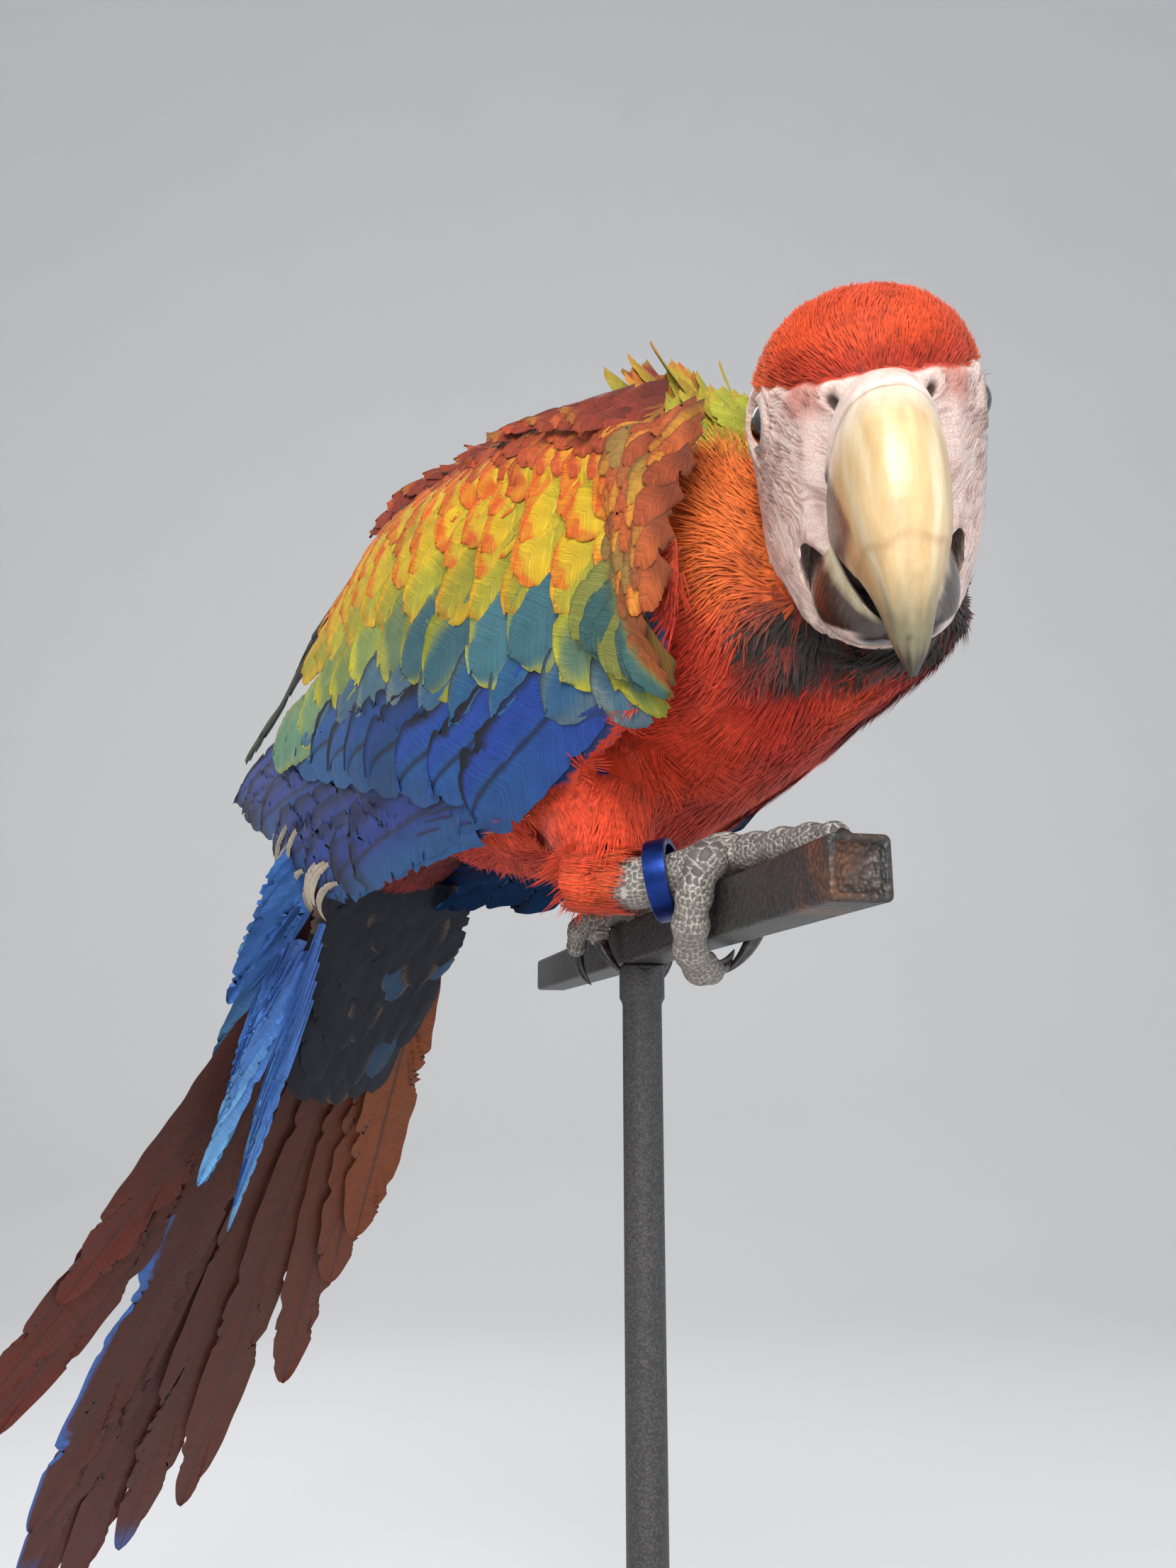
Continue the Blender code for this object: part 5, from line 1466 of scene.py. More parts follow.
TAIL_SLOPE = math.radians(50.0)
TAIL_ROOT = np.array((0.0, 172.0, 24.0))
TAIL_WIDTH = 27.0
RIGHT_TIPS = ((482.0, -20.0), (440.0, -26.0), (392.0, -32.0), (318.0, -76.0), (288.0, -82.0), (222.0, -64.0))
LEFT_TIPS = ((466.0, 2.0), (428.0, 22.0), (398.0, 46.0), (307.0, 72.0), (232.0, 70.0), (198.0, 71.0))
# The tail's own dark red, darkened further as painted shade on its underside
SHADED_TAIL_RED = (0.070, 0.016, 0.009)
LEFT_RUST = (0.0, 0.04, 0.10, 0.22, 0.5, 0.95)
RIGHT_BEND = 1.6
LEFT_BEND = 1.15


def tail_point(along, across, height):
    """Points of the tail: along its slope, to the bird's left, and over its upper face."""
    ahead = np.array((0.0, math.cos(TAIL_SLOPE), -math.sin(TAIL_SLOPE)))
    over = np.array((0.0, math.sin(TAIL_SLOPE), math.cos(TAIL_SLOPE)))
    along, across, height = (np.asarray(v, float)[..., None] for v in (along, across, height))
    return TAIL_ROOT + along * ahead + across * np.array((1.0, 0.0, 0.0)) + height * over


def tail_vanes(name, feathers, grid, shape, look, paint, rng):
    """Feathers of the tail: tip along and across, root along and across, bend, height, half width.

    shape holds where the tip begins and the root's width, as shares, nicks, their depth and the arch.
    """
    feathers = np.array(feathers, float)
    count = len(feathers)
    u, v, quads = vane_grid(count, *grid)
    tip_along, tip_across, root_along, root_across, bend, height, half = (feathers[:, i][:, None]
                                                                          for i in range(7))
    tip_start, root, nicks, depth, arch = shape
    outline = vane_outline(u, tip_start, root, 2.4) * ragged(count, u, v, rng, nicks, depth)
    middle = root_across + (tip_across - root_across) * u ** bend
    slope = (tip_across - root_across) * bend * np.maximum(u, 0.02) ** (bend - 1) / (tip_along - root_along)
    side = v * half * outline
    turn = 1 / np.sqrt(1 + slope**2)
    along = root_along + (tip_along - root_along) * u - side * slope * turn
    across = middle + side * turn
    over = height - arch * v ** 2 + 0.30 * np.exp(-(v / 0.07) ** 2) * (1 - 0.7 * u)
    over = over + 0.25 * np.sin(u * 14 + 4 * v + height)
    points = tail_point(along.ravel(), across.ravel(), over.ravel())
    colour = paint(np.arange(count)[:, None], np.broadcast_to(u, (count, len(u))),
                   np.broadcast_to(v, (count, len(v))))
    vane = np.stack((np.broadcast_to((tip_along - root_along) * u, side.shape).ravel(), side.ravel()), axis=1)
    uv = np.stack((0.60 + 0.38 * (across.ravel() + 110) / 220, 0.02 + 0.30 * np.clip(along.ravel(), 0, 500)
                   / 500), axis=1)
    return split_pieces(name, points, quads, colour.reshape(-1, 3), uv, vane, look, len(u), grid[0] * grid[1])


def build_tail(looks):
    """Twelve long feathers, the blue coverts over them and the blue ones below, darkened nearly to black as
    painted shade.
    """
    rng = np.random.default_rng(90)
    made = {}
    for word, tips, bend, sign in (("right", RIGHT_TIPS, RIGHT_BEND, -1), ("left", LEFT_TIPS, LEFT_BEND, 1)):
        for i, (along, across) in enumerate(tips):
            root = -1.0 - 3.2 * i if word == "right" else 5.0 + 6.2 * i
            height = 6.4 - 2.0 * i - (1.0 if word == "left" else 0.0) - 0.3

            def paint(n, u, v, i=i, sign=sign):
                right = sign < 0
                outer = ramp(0.72, 0.88, sign * v + 0.06 * np.sin(u * 11 + i)) * ramp(0.1, 0.3, u)
                return layered(
                    mix(SHADED_TAIL_RED, (0.20, 0.050, 0.012), 0.0 if right else LEFT_RUST[i]),
                    ((0.030, 0.008, 0.010), ramp(0.35, 0.05, u) * 0.8),
                    ((0.17, 0.022, 0.012), ramp(0.55, 1.0, u) * (0.7 if right and i > 2 else 0.25)),
                    ((0.045, 0.15, 0.48), outer * (0.95 if right and i < 3 else 0.0)),
                    ((0.045, 0.12, 0.38), ramp(0.94, 0.99, u) * (i < 2) * 0.7),
                    ((0.045, 0.020, 0.016), ramp(0.06, 0.03, np.abs(v)) * 0.85))

            feather = [(along, across, 0.5, root, bend, height, TAIL_WIDTH / 2 + 0.3)]
            made["tail_%s_%d" % (word, i + 1)] = tail_vanes(
                "tail_feather_%s_%d" % (word, i + 1), feather, (120, 20), (0.66, 0.42, 16, 0.45, 0.5),
                looks["tail"], paint, rng)

    def azure(n, u, v):
        tint = layered(
            (0.075, 0.22, 0.62),
            ((0.16, 0.42, 0.75), ramp(0.4, 0.9, u) * (np.sin(n * 2.3) > 0)),
            ((0.045, 0.10, 0.34), ramp(0.3, 0.0, u) * 0.7))
        return tint * per_feather(len(n), 0.10, rng)

    def dusk(n, u, v):
        # Painted shade: blue undertail coverts laid down nearly black, with a few teal patches and brown edges
        tint = layered(
            (0.006, 0.009, 0.018),
            ((0.022, 0.065, 0.13), ramp(0.2, 0.7, u) * (np.sin(n * 2.9 + 1) > 0.86) * 0.8),
            ((0.20, 0.12, 0.07), ramp(0.55, 0.9, np.abs(v)) * (np.sin(n * 4.1) > 0.6) * 0.5))
        return tint * per_feather(len(n), 0.15, rng)

    covers = []
    for k, (reach, spread, count, high) in enumerate(((196, 26, 5, 6.6), (158, 24, 6, 7.2), (118, 29, 8, 8.0),
                                                     (84, 32, 9, 8.8), (52, 32, 9, 9.5), (30, 30, 9, 10.1))):
        for j in range(count):
            s = 2 * j / (count - 1) - 1
            covers.append((reach * (1 - 0.14 * s * s) + rng.normal(scale=4), s * spread
                           - (9.0 if k < 2 else 4.0), max(reach - 104 + 6 * rng.random(), -16), s * (16 + 3 * k)
                           + 1, 1.2, high - 1.2 * s * s + 0.1 * rng.random(), 7.5 if k < 3 else 9.5))
    for j in range(11):
        edge = rng.uniform(0, 1)
        tip = 92 + 58 * (j / 10) ** 1.5 + rng.normal(scale=5)
        covers.append((tip, -24.0 - 9 * edge + 0.05 * tip - 4, rng.uniform(-6, 12) + 0.25 * tip, -34.0 + 12
                       * edge, 1.1, -9.6 - 3.0 * edge, 5.5))
    for j in range(5):
        covers.append((118 + 14 * j, -15.0 + 2.0 * j, 10.0 + 9 * j, -22.0 + 2 * j, 1.1, -13.0 - 0.4 * j, 2.6))
    unders = []
    for k, (reach, spread, count, low) in enumerate(((112, 16, 5, -7.8), (96, 22, 6, -8.6), (74, 24, 7, -9.6),
                                                     (52, 26, 7, -10.8), (30, 27, 8, -12.0))):
        for j in range(count):
            s = 2 * j / (count - 1) - 1
            unders.append((reach * (1 - 0.12 * s * s) + rng.normal(scale=5), s * spread + 12 + 0.12 * reach,
                           max(reach - 84, -12), s * (18 + 2 * k) + 7, 1.2, low + 0.8 * s * s, 10.5))
    made["azure"] = tail_vanes("upper_tail_coverts", covers, (60, 12), (0.28, 0.6, 12, 0.5, 0.9),
                               looks["azure"], azure, rng)
    made["dusk"] = tail_vanes("under_tail_coverts", unders, (40, 12), (0.60, 0.7, 8, 0.4, -0.9),
                              looks["dusk"], dusk, rng)
    return made


# ---------------------------------------------------------------- materials

class Look:
    """A Principled material, with short ways to the nodes of its pattern."""

    def __init__(self, name, roughness, **sockets):
        self.material = bpy.data.materials.new(name)
        self.material.use_nodes = True
        self.tree = self.material.node_tree
        self.shader = self.tree.nodes["Principled BSDF"]
        for socket, value in {"Roughness": roughness, **sockets}.items():
            self.shader.inputs[socket.replace("_", " ")].default_value = value

    def node(self, kind, settings=None, inputs=()):
        """A node with its settings, and a value or link for each input named or numbered."""
        node = self.tree.nodes.new(kind)
        for key, value in (settings or {}).items():
            setattr(node, key, value)
        for key, value in dict(inputs).items():
            if isinstance(value, bpy.types.NodeSocket):
                self.tree.links.new(value, node.inputs[key])
            else:
                node.inputs[key].default_value = value
        return node

    def place(self):
        """Coordinates fixed to the piece."""
        return self.node("ShaderNodeTexCoord").outputs["Object"]

    def mapped(self, where, **mapping):
        """Coordinates turned and stretched."""
        return self.node("ShaderNodeMapping", None, {"Vector": where, **mapping}).outputs[0]

    def tint(self):
        """The mesh's own colours."""
        return self.node("ShaderNodeVertexColor", {"layer_name": "tint"}).outputs["Color"]

    def noise(self, where, scale, detail=4.0, rough=0.55):
        """A noise texture's value."""
        inputs = {"Vector": where, "Scale": scale, "Detail": detail, "Roughness": rough}
        return self.node("ShaderNodeTexNoise", None, inputs).outputs["Fac"]

    def cells(self, where, feature, scale, **inputs):
        """A Voronoi texture's distance."""
        inputs = {"Vector": where, "Scale": scale, **inputs}
        return self.node("ShaderNodeTexVoronoi", {"feature": feature}, inputs).outputs["Distance"]

    def remap(self, value, low, high, to_low=0.0, to_high=1.0):
        """A clamped change of range."""
        return self.node("ShaderNodeMapRange", None, enumerate((value, low, high, to_low, to_high))).outputs[0]

    def math(self, operation, *values):
        """The result of a Math node."""
        return self.node("ShaderNodeMath", {"operation": operation}, enumerate(values)).outputs[0]

    def blend(self, kind, share, a, b):
        """A mix of two colours."""
        a, b = (part if isinstance(part, bpy.types.NodeSocket) else (*part, 1.0) for part in (a, b))
        return self.node("ShaderNodeMix", {"data_type": "RGBA", "blend_type": kind},
                         {0: share, 6: a, 7: b}).outputs[2]

    def toned(self, shade, share, dark, light):
        """A colour times a tone between dark and light."""
        return self.blend("MULTIPLY", 1.0, shade, self.blend("MIX", share, dark, light))

    def bump(self, height, strength, distance, normal=None):
        """A bump from a height, over another one if given."""
        inputs = {"Height": height, "Strength": strength, "Distance": distance}
        if normal is not None:
            inputs["Normal"] = normal
        return self.node("ShaderNodeBump", None, inputs).outputs["Normal"]

    def finished(self, colour, normal=None, roughness=None):
        """Link the results to the shader and return the material."""
        for socket, value in (("Base Color", colour), ("Normal", normal), ("Roughness", roughness)):
            if value is not None:
                self.tree.links.new(value, self.shader.inputs[socket])
        return self.material


def down_look(name):
    """Soft fine feathers: the markings with fine streaks of light and dark."""
    look = Look(name, 0.66, Sheen_Weight=0.08, Sheen_Roughness=0.5, Specular_IOR_Level=0.25)
    where = look.place()
    streak = look.noise(where, 620.0, 3.0)
    shade = look.toned(look.tint(), look.remap(streak, 0.3, 0.7), (0.72, 0.70, 0.68), (1.22, 1.24, 1.26))
    patch = look.remap(look.noise(where, 75.0), 0.42, 0.68)
    shade = look.blend("MULTIPLY", patch, shade, (0.74, 0.66, 0.62))
    return look.finished(shade, look.bump(streak, 0.35, 0.0005))


def vane_look(name, roughness, fine, sheen):
    """A feather's vane: barbs that slant from the shaft, drawn from the vane's own millimetres."""
    look = Look(name, roughness, Sheen_Weight=sheen, Sheen_Roughness=0.4, Specular_IOR_Level=0.28)
    vane = look.node("ShaderNodeUVMap", {"uv_map": "vane"}).outputs["UV"]
    axes = look.node("ShaderNodeSeparateXYZ", None, {"Vector": vane}).outputs
    slant = look.math("MULTIPLY", look.math("ABSOLUTE", axes["Y"]), 0.75)
    drift = look.math("MULTIPLY", look.noise(vane, 0.35, 2.0), 2.2)
    line = look.math("ADD", look.math("SUBTRACT", axes["X"], slant), drift)
    barb = look.math("SINE", look.math("MULTIPLY", line, 6.2832 / fine))
    stretched = look.node("ShaderNodeCombineXYZ", None, {"X": line, "Y": 0.0, "Z": 0.0}).outputs[0]
    coarse = look.noise(stretched, 0.9, 2.0)
    patch = look.remap(look.noise(vane, 0.16, 3.0), 0.3, 0.7)
    shade = look.toned(look.tint(), look.remap(barb, -1.0, 1.0), (0.80, 0.80, 0.80), (1.10, 1.10, 1.10))
    shade = look.toned(shade, look.remap(coarse, 0.3, 0.7), (0.70, 0.72, 0.74), (1.22, 1.20, 1.18))
    shade = look.toned(shade, patch, (0.85, 0.85, 0.86), (1.12, 1.12, 1.12))
    return look.finished(shade, look.bump(coarse, 0.35, 0.0006, look.bump(barb, 0.30, 0.0003)))


def face_look():
    """Skin under the coat and the bare face: creased, with painted shade in the creases, softly lit through."""
    look = Look("face_skin", 0.52, Subsurface_Weight=0.12, Subsurface_Radius=(0.004, 0.0015, 0.001),
                Subsurface_Scale=0.5, Specular_IOR_Level=0.4)
    where = look.place()
    stretch = look.mapped(where, Rotation=(0.5, 0.2, 0.8), Scale=(1.0, 2.6, 1.0))
    crease = look.remap(look.cells(stretch, "DISTANCE_TO_EDGE", 900.0, Randomness=1.0), 0.0, 0.14)
    mottle = look.noise(where, 240.0)
    # Painted shade: darker in the fine creases
    shade = look.toned(look.tint(), crease, (0.88, 0.80, 0.78), (1.03, 1.03, 1.03))
    shade = look.blend("MULTIPLY", look.remap(mottle, 0.4, 0.7), shade, (0.95, 0.86, 0.83))
    return look.finished(shade, look.bump(crease, 0.3, 0.0004, look.bump(mottle, 0.3, 0.0006)))


def horn_look(name, roughness, coat, scale):
    """Polished horn: the markings with long fibres, growth lines and fine scratches."""
    look = Look(name, roughness, Coat_Weight=coat, Coat_Roughness=0.22, Subsurface_Weight=0.08,
                Subsurface_Radius=(0.003, 0.002, 0.001))
    where = look.place()
    tilted = look.mapped(where, Rotation=(0.9, 0.1, -0.8), Scale=(1.0, 1.0, 0.18))
    fibre = look.noise(tilted, scale, 5.0, 0.6)
    scratch = look.noise(where, scale * 3.2, 3.0, 0.7)
    shade = look.toned(look.tint(), look.remap(fibre, 0.32, 0.68), (0.80, 0.77, 0.72), (1.10, 1.11, 1.12))
    return look.finished(shade, look.bump(fibre, 0.22, 0.0006, look.bump(scratch, 0.15, 0.0002)),
                         look.remap(scratch, 0.35, 0.7, roughness - 0.07, roughness + 0.14))


def eye_look():
    """A wet eye with fine marks in the iris."""
    look = Look("wet_eye", 0.09, Coat_Weight=1.0, Coat_Roughness=0.03)
    mark = look.noise(look.place(), 900.0, 3.0)
    shade = look.toned(look.tint(), mark, (0.8, 0.8, 0.8), (1.2, 1.2, 1.2))
    return look.finished(shade, None, look.remap(mark, 0.3, 0.7, 0.07, 0.12))


def scale_look():
    """Dry grey scales with a faint polish on the raised ones."""
    look = Look("grey_scale", 0.55, Specular_IOR_Level=0.45)
    where = look.place()
    grain = look.noise(where, 1500.0, 4.0, 0.65)
    dust = look.remap(look.noise(where, 160.0), 0.5, 0.75, 0.0, 0.28)
    shade = look.toned(look.tint(), look.remap(grain, 0.3, 0.7), (0.72, 0.72, 0.72), (1.25, 1.24, 1.22))
    shade = look.blend("MIX", dust, shade, (0.36, 0.32, 0.28))
    return look.finished(shade, look.bump(grain, 0.4, 0.0003), look.remap(grain, 0.3, 0.7, 0.45, 0.68))


def anodised_look():
    """Blue anodised metal with fine turning marks and scuffs."""
    look = Look("blue_anodised", 0.3, Metallic=0.85)
    where = look.place()
    scuff = look.noise(where, 420.0, 5.0, 0.7)
    cloud = look.remap(look.noise(where, 120.0, 3.0), 0.4, 0.7)
    shade = look.blend("MIX", look.remap(scuff, 0.62, 0.72, 0.0, 0.5), look.tint(), (0.10, 0.16, 0.34))
    shade = look.blend("MULTIPLY", cloud, shade, (0.70, 0.74, 0.80))
    return look.finished(shade, look.bump(scuff, 0.12, 0.0002), look.remap(scuff, 0.3, 0.7, 0.22, 0.46))


def powder_look(name, wrinkle, strength, roughness):
    """Powder-coated steel with a leathery wrinkle and rust where the colour says."""
    look = Look(name, roughness, Specular_IOR_Level=0.55)
    where = look.place()
    bent = look.remap(look.noise(where, wrinkle * 0.35, 3.0), 0.4, 0.7)
    pit = look.cells(where, "SMOOTH_F1", wrinkle, Smoothness=0.6)
    flake = look.noise(where, wrinkle * 1.7, 4.0, 0.7)
    shade = look.toned(look.tint(), look.remap(pit, 0.1, 0.6), (1.45, 1.40, 1.35), (0.55, 0.55, 0.55))
    shade = look.blend("MULTIPLY", bent, shade, (0.72, 0.70, 0.68))
    return look.finished(shade, look.bump(pit, strength, 0.0006, look.bump(flake, 0.3, 0.0002)),
                         look.remap(flake, 0.3, 0.7, roughness - 0.08, roughness + 0.15))


# ---------------------------------------------------------------- studio

CAMERA_AT = (-0.2403, -0.2553, -0.043)      # from the bird's zero, in metres
CAMERA_TURN = (90.0 + 13.0, 0.0, -40.0)
LENS, SENSOR = 36.02, 36.0
# name, place, target, size, power and colour
LAMPS = (
    ("key", (-0.95, -0.75, 1.15), (0.0, -0.05, 0.47), 0.9, 21.0, (1.0, 0.96, 0.91)),
    ("fill", (0.55, -1.15, 0.75), (0.0, -0.05, 0.47), 1.1, 4.0, (0.93, 0.95, 1.0)),
    ("low", (-0.55, -0.65, 0.12), (0.0, 0.0, 0.42), 0.7, 1.6, (1.0, 0.98, 0.96)),
    ("back", (0.5, 0.9, 1.3), (0.0, 0.0, 0.5), 0.8, 7.0, (0.95, 0.97, 1.0)),
)


def add_object(name, data):
    """A new object in the scene."""
    made = bpy.data.objects.new(name, data)
    bpy.context.scene.collection.objects.link(made)
    return made


def build_studio():
    """A pale floor that sweeps up behind, four soft lamps and the camera."""
    profile = [(-2.6, 0.0), (1.35, 0.0)]
    profile += [(1.35 + 0.8 * math.sin(a), 0.8 - 0.8 * math.cos(a)) for a in np.linspace(0.15, math.pi / 2, 12)]
    profile += [(2.15, 3.6)]
    turn = math.radians(50.0)
    ahead = np.array((math.cos(turn), math.sin(turn), 0.0))
    across = np.array((math.sin(turn), -math.cos(turn), 0.0))
    points = []
    for reach, height in profile:
        for width in (-3.2, 3.2):
            points.append(ahead * reach + across * width + np.array((0.0, 0.0, height)))
    quads = [(2 * i, 2 * i + 1, 2 * i + 3, 2 * i + 2) for i in range(len(profile) - 1)]
    sweep = make_mesh("floor_sweep", (np.array(points) - BIRD_AT) / MM, np.array(quads))
    look = Look("pale_floor", 0.85)
    tone = look.noise(look.place(), 3.0)
    sweep.data.materials.append(look.finished(look.blend("MIX", tone, (0.76, 0.76, 0.765),
                                                         (0.80, 0.80, 0.805))))

    lens = bpy.data.cameras.new("camera")
    lens.sensor_fit = "HORIZONTAL"
    lens.sensor_width = SENSOR
    lens.lens = LENS
    lens.clip_start = 0.01
    camera = add_object("camera", lens)
    camera.location = Vector(BIRD_AT) + Vector(CAMERA_AT)
    camera.rotation_euler = [math.radians(turn) for turn in CAMERA_TURN]
    bpy.context.scene.camera = camera

    for name, place, target, size, power, colour in LAMPS:
        light = bpy.data.lights.new(name, "AREA")
        light.shape = "DISK"
        light.size = size
        light.energy = power
        light.color = colour
        lamp = add_object(name, light)
        lamp.location = place
        lamp.rotation_euler = (Vector(target) - Vector(place)).to_track_quat("-Z", "Y").to_euler()
    world = bpy.data.worlds.new("studio")
    world.use_nodes = True
    light = world.node_tree.nodes["Background"].inputs
    light["Color"].default_value = (0.80, 0.82, 0.86, 1)
    light["Strength"].default_value = 0.62
    bpy.context.scene.world = world
    bpy.context.scene.view_settings.view_transform = "Standard"


# ---------------------------------------------------------------- assembly

def ride(pieces, *nodes, slot=None):
    """Pieces ride on the one body; the first stands for the named nodes."""
    for i, piece in enumerate(pieces):
        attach(piece, "root")
        if i == 0 and nodes:
            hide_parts(*nodes)


def build_coat(points, normals, quads, looks):
    """Strands and small vanes over the skin."""
    head = to_head(points)
    bare = face_share(head)
    x, y, z = points.T
    _, under_wing = wing_cover(points, 12.0)
    under_wing = under_wing | ((y > -61) & (y < -50) & (np.abs(x) > 43) & (z > 50) & (z < 118))
    on_crown = (distance(head, HEAD_MIDDLE) < 47) & (head[:, 2] > 3) & (bare < 0.4)
    made = []

    def grow(name, keep, spacing, length, width, strands, look, seed, **more):
        spots, corner = scatter(points, quads, keep, spacing, seed)
        n = normals[corner]
        rng = np.random.default_rng(seed)
        lies = flow(spots, n)
        by_wing = wing_cover(spots + (0.0, 0.0, 10.0), 14.0)[1]
        size = (length * rng.uniform(0.8, 1.2, len(spots)) * np.where(by_wing, 0.5, 1.0), width
                * np.ones(len(spots)))
        tints = body_tints(spots, n)
        return strand_tufts(name, spots, n, lies, tints, size, strands, look, **more)

    def dress(name, keep, spacing, length, half, lift, rim, seed, look):
        spots, corner = scatter(points, quads, keep, spacing, seed)
        rng = np.random.default_rng(seed)
        n = normals[corner]
        size = (length * rng.uniform(0.8, 1.25, len(spots)), half * rng.uniform(0.85, 1.15, len(spots)))
        raised = lift * rng.uniform(0.4, 1.8, len(spots))
        return skin_vanes(name, spots, n, flow(spots, n), size, raised, body_tints(spots, n), rim,
                          looks[look], seed)

    made += grow("crown_down", on_crown, 1.3, 5.4, 2.0, 6, looks["down"], 5, spread=0.25, lift=0.24)
    rest = ~on_crown & ~under_wing & (bare < 0.4)
    soft = rest & (y < -52)
    leg = (z < 50) & (np.abs(x) > 12) & (y < 56) & rest
    made += grow("neck_down", soft & ~leg, 2.0, 10.0, 3.4, 7, looks["down"], 6, lift=0.14)
    made += grow("body_down", rest & ~soft & ~leg & (z < 124), 2.5, 13.0, 4.2, 9, looks["down"], 7,
                 spread=0.26, lift=0.10)
    made += grow("thigh_down", leg, 2.1, 15.0, 3.0, 9, looks["down"], 8, spread=0.14, lift=0.035, segments=3)
    over = rest & (normals[:, 2] > 0.15) & (y > -56)
    made += dress("mantle", over & (y < 62) & (z > 104), 5.2, 17.0, 5.2, 0.16,
                  (0.34, 0.20, 0.022), 21, "covert")
    made += dress("rump", over & (y >= 62), 6.0, 21.0, 6.0, 0.08, (0.12, 0.33, 0.56), 22, "covert")
    made += nape_feathers(points, normals, looks)
    made += face_feathers(points, quads, normals, looks)
    return made


def face_feathers(points, quads, normals, looks):
    """Short dark feather lines along the folds of the bare face."""
    head = to_head(points)
    inside = (face_margin(head) > 1.2) & (gape_edge(head) < -1.5) & (head[:, 1] > -32)
    spots, corner = scatter(points, quads, inside, 1.25, 31)
    place = to_head(spots)
    ridge, _ = face_lines(place)
    side = np.abs(place[:, 0]) > 11
    eye = np.hypot(place[:, 1] + EYE_AHEAD, place[:, 2]) > 9.0
    zone = ramp(-34, -24, place[:, 2]) * ramp(10, 2, np.hypot(place[:, 1] + 10, (place[:, 2] + 8) * 0.45))
    zone = np.maximum(zone, 0.8 * ramp(10, 4, np.hypot(place[:, 1] + 17, place[:, 2] - 2)))
    rng = np.random.default_rng(32)
    keep = side & eye & (ridge < 0.5) & (rng.random(len(spots)) < 0.18 + 0.82 * zone)
    spots, n = spots[keep], normals[corner[keep]]
    lean = 0.45 + 0.55 * ramp(-12, -34, place[keep, 2])
    lie = np.stack((0 * lean, np.ones(len(lean)), lean), axis=1) @ HEAD_TURN.T
    lie = along_skin(lie, n)
    tints = np.tile((0.17, 0.060, 0.050), (len(spots), 1)) * rng.uniform(0.5, 1.8, (len(spots), 1))
    size = (rng.uniform(3.0, 6.0, len(spots)), np.full(len(spots), 0.24))
    return strand_tufts("face_lines", spots + n * 0.4, n, lie, tints, size, 2, looks["down"],
                        spread=0.14, lift=0.05)


def skin_vanes(name, roots, normals, lies, size, lift, tints, rim, look, seed, grid=(10, 6)):
    """Small feathers on the skin, raised by a slope, with a rim of another colour."""
    rng = np.random.default_rng(seed)
    count = len(roots)
    u, v, quads = vane_grid(count, *grid)
    length, half = (np.asarray(part, float)[:, None] for part in size)
    outline = vane_outline(u, 0.5, 0.5) * ragged(count, u, v, rng, 4, 0.5)
    lies = unit(lies + 0.16 * rng.normal(size=(count, 3)))
    across = unit(np.cross(normals, lies))
    over = 0.2 + lift[:, None] * length * u ** 1.25 - 0.22 * half * v ** 2
    over = over + 0.15 * np.exp(-(v / 0.14) ** 2)
    points = roots[:, None] + lies[:, None] * (u * length)[..., None]
    points = points + across[:, None] * (v * half * outline)[..., None] + normals[:, None] * over[..., None]
    edge = ramp(0.72, 0.95, u) * rng.uniform(0.1, 1.0, (count, 1))
    colour = mix(tints[:, None] * rng.normal(1.0, 0.16, (count, 1, 1)) * (0.75 + 0.35 * u)[:, None],
                 rim, edge * 0.8)
    vane = np.stack((np.broadcast_to(u * length, edge.shape).ravel(),
                     np.broadcast_to(v * half, edge.shape).ravel()), axis=1)
    uv = unwrap(roots)[:, None] + UV_PATCH * np.stack((2 * u - 1, v), axis=1)[None]
    return split_pieces(name, points.reshape(-1, 3), quads, colour.reshape(-1, 3), uv.reshape(-1, 2), vane,
                        look, len(u), grid[0] * grid[1])


def nape_feathers(points, normals, looks):
    """The raised feathers of the nape and the upper back."""
    rng = np.random.default_rng(61)
    made = []
    groups = (
        ("nape_ruff", 30, (-10.0, -40.0, 130.0), (12.0, 5.0), 0.80, (25.0, 4.0), (0.30, 0.31, 0.026),
         (0.50, 0.12, 0.014)),
        ("nape_down", 60, (-14.0, -56.0, 128.0), (14.0, 9.0), 0.30, (17.0, 4.6), (0.30, 0.33, 0.028),
         (0.44, 0.30, 0.022)),
        ("back_ruff", 40, (-16.0, -20.0, 124.0), (14.0, 12.0), 0.32, (17.0, 4.6), (0.20, 0.036, 0.012),
         (0.36, 0.22, 0.022)),
        ("back_edge", 90, (-22.0, 30.0, 138.0), (20.0, 34.0), 0.26, (15.0, 4.8), (0.11, 0.016, 0.009),
         (0.34, 0.075, 0.014)),
    )
    tree = kd_tree(points)
    for number, (name, count, middle, reach, lift, size, tint, rim) in enumerate(groups):
        aim = np.array(middle) + np.stack((rng.normal(size=count) * reach[0] * 0.6, rng.normal(size=count)
                                           * reach[1] * 0.6, np.zeros(count)), axis=1)
        near = np.array([tree.find(spot)[1] for spot in aim])
        lies = np.tile((0.0, 0.85, 0.45), (count, 1)) + 0.22 * rng.normal(size=(count, 3))
        n = normals[near]
        lies = along_skin(lies, n)
        long = size[0] * rng.uniform(0.7, 1.2, count)
        tints = mix(np.tile(tint, (count, 1)), rim, rng.random(count) ** 2)
        made += skin_vanes(name, points[near], n, lies, (long, np.full(count, size[1])), np.full(count, lift),
                           tints, rim, looks["covert"], 70 + number, (16, 8))
    return made


# Material slots by the first word of a piece's name
COAT_SLOTS = {"crown": "head_feathers", "face": "head_feathers", "neck": "neck_feathers",
              "nape": "neck_feathers", "thigh": "thigh_feathers", "rump": "azure_coverts"}
WING_SLOTS = {"primaries": "violet_blue_primaries", "tertials": "violet_blue_primaries",
              "secondaries": "blue_secondaries"}


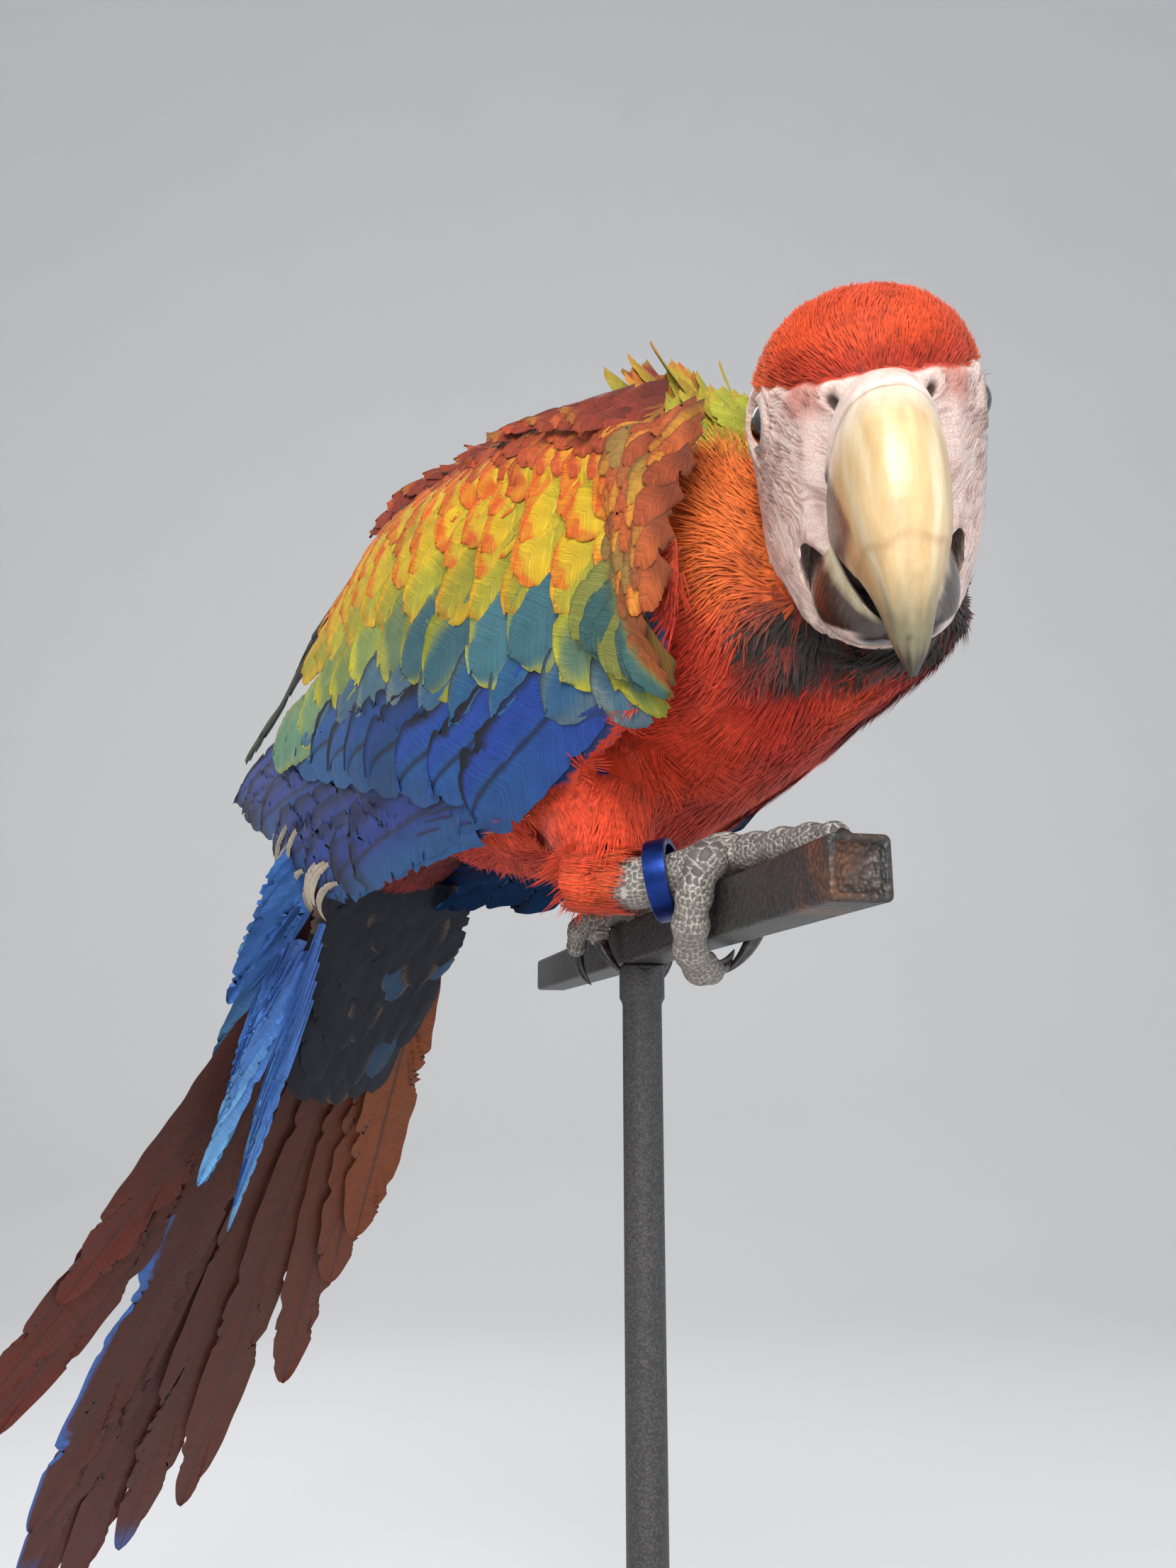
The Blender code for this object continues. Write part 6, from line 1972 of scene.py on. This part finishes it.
def main():
    """Build, dress and place everything."""
    looks = {
        "down": down_look("red_down"),
        "blue": vane_look("blue_vane", 0.50, 0.8, 0.04),
        "covert": vane_look("covert_vane", 0.62, 0.6, 0.04),
        "tail": vane_look("tail_vane", 0.55, 0.9, 0.03),
        "azure": vane_look("azure_vane", 0.55, 0.7, 0.06),
        "dusk": vane_look("dusk_vane", 0.60, 0.7, 0.04),
        "ivory": horn_look("ivory_horn", 0.36, 0.35, 260.0),
        "brown": horn_look("brown_horn", 0.26, 0.6, 320.0),
        "claw": horn_look("black_claw", 0.30, 0.4, 500.0),
        "eye": eye_look(),
        "scale": scale_look(),
        "ring": anodised_look(),
        "bar": powder_look("bar_powder", 900.0, 0.7, 0.42),
        "stand": powder_look("stand_powder", 1300.0, 0.35, 0.45),
    }
    skin, points, normals, quads = build_skin()
    skin.data.materials.append(face_look())
    ride([skin], "head", "neck", "trunk", "thigh_right", "thigh_left", slot="red_feathers")
    measure_rise(points, normals)
    for piece in build_coat(points, normals, quads, looks):
        ride([piece], slot=COAT_SLOTS.get(piece.name.split("_")[0], "red_feathers"))
    for side, word in ((-1, "right"), (1, "left")):
        nodes = ("wing_" + word, "wing_%s_secondaries" % word, "wing_%s_primaries" % word)
        for i, piece in enumerate(build_wing(side, looks)):
            slot = WING_SLOTS.get(piece.name.split("_")[0], "yellow_coverts")
            ride([piece], *(nodes if i == 0 else ()), slot=slot)
    ride([build_beak_upper(looks["ivory"])], "beak_upper", slot="ivory_horn")
    ride([build_beak_lower(looks["brown"])], "beak_lower", slot="brown_horn")
    for word, side, foot in (("right", -1, RIGHT_FOOT), ("left", 1, LEFT_FOOT)):
        ride([build_eye(word, side, looks["eye"])], "eye_" + word, slot="dark_eye")
        ride([build_foot(word, foot, looks["scale"])], "foot_" + word, slot="grey_scales")
        ride(build_cuff(word, foot, looks["down"]), slot="thigh_feathers")
        for toe, stations in foot.items():
            if toe != "tarsus":
                claw = "claw_%s_%s" % (word, toe[-1])
                ride([build_claw(claw + "_horn", stations, looks["claw"])], claw, slot="black_claw")
    ride([build_ring(looks["ring"])], "leg_ring", slot="blue_anodised")
    ride([build_bar(looks["bar"])], "perch_bar", slot="powder_coat")
    base, rod = build_stand(looks["stand"])
    ride([base], "stand_base", slot="stand_steel")
    ride([rod], "stand_rod", slot="stand_steel")
    tail = build_tail(looks)
    ride(tail.pop("azure"), "tail_coverts", slot="azure_coverts")
    ride(tail.pop("dusk"), "undertail_coverts", slot="dark_undertail")
    for node, pieces in tail.items():
        ride(pieces, node, slot="maroon_tail")
    build_studio()


main()
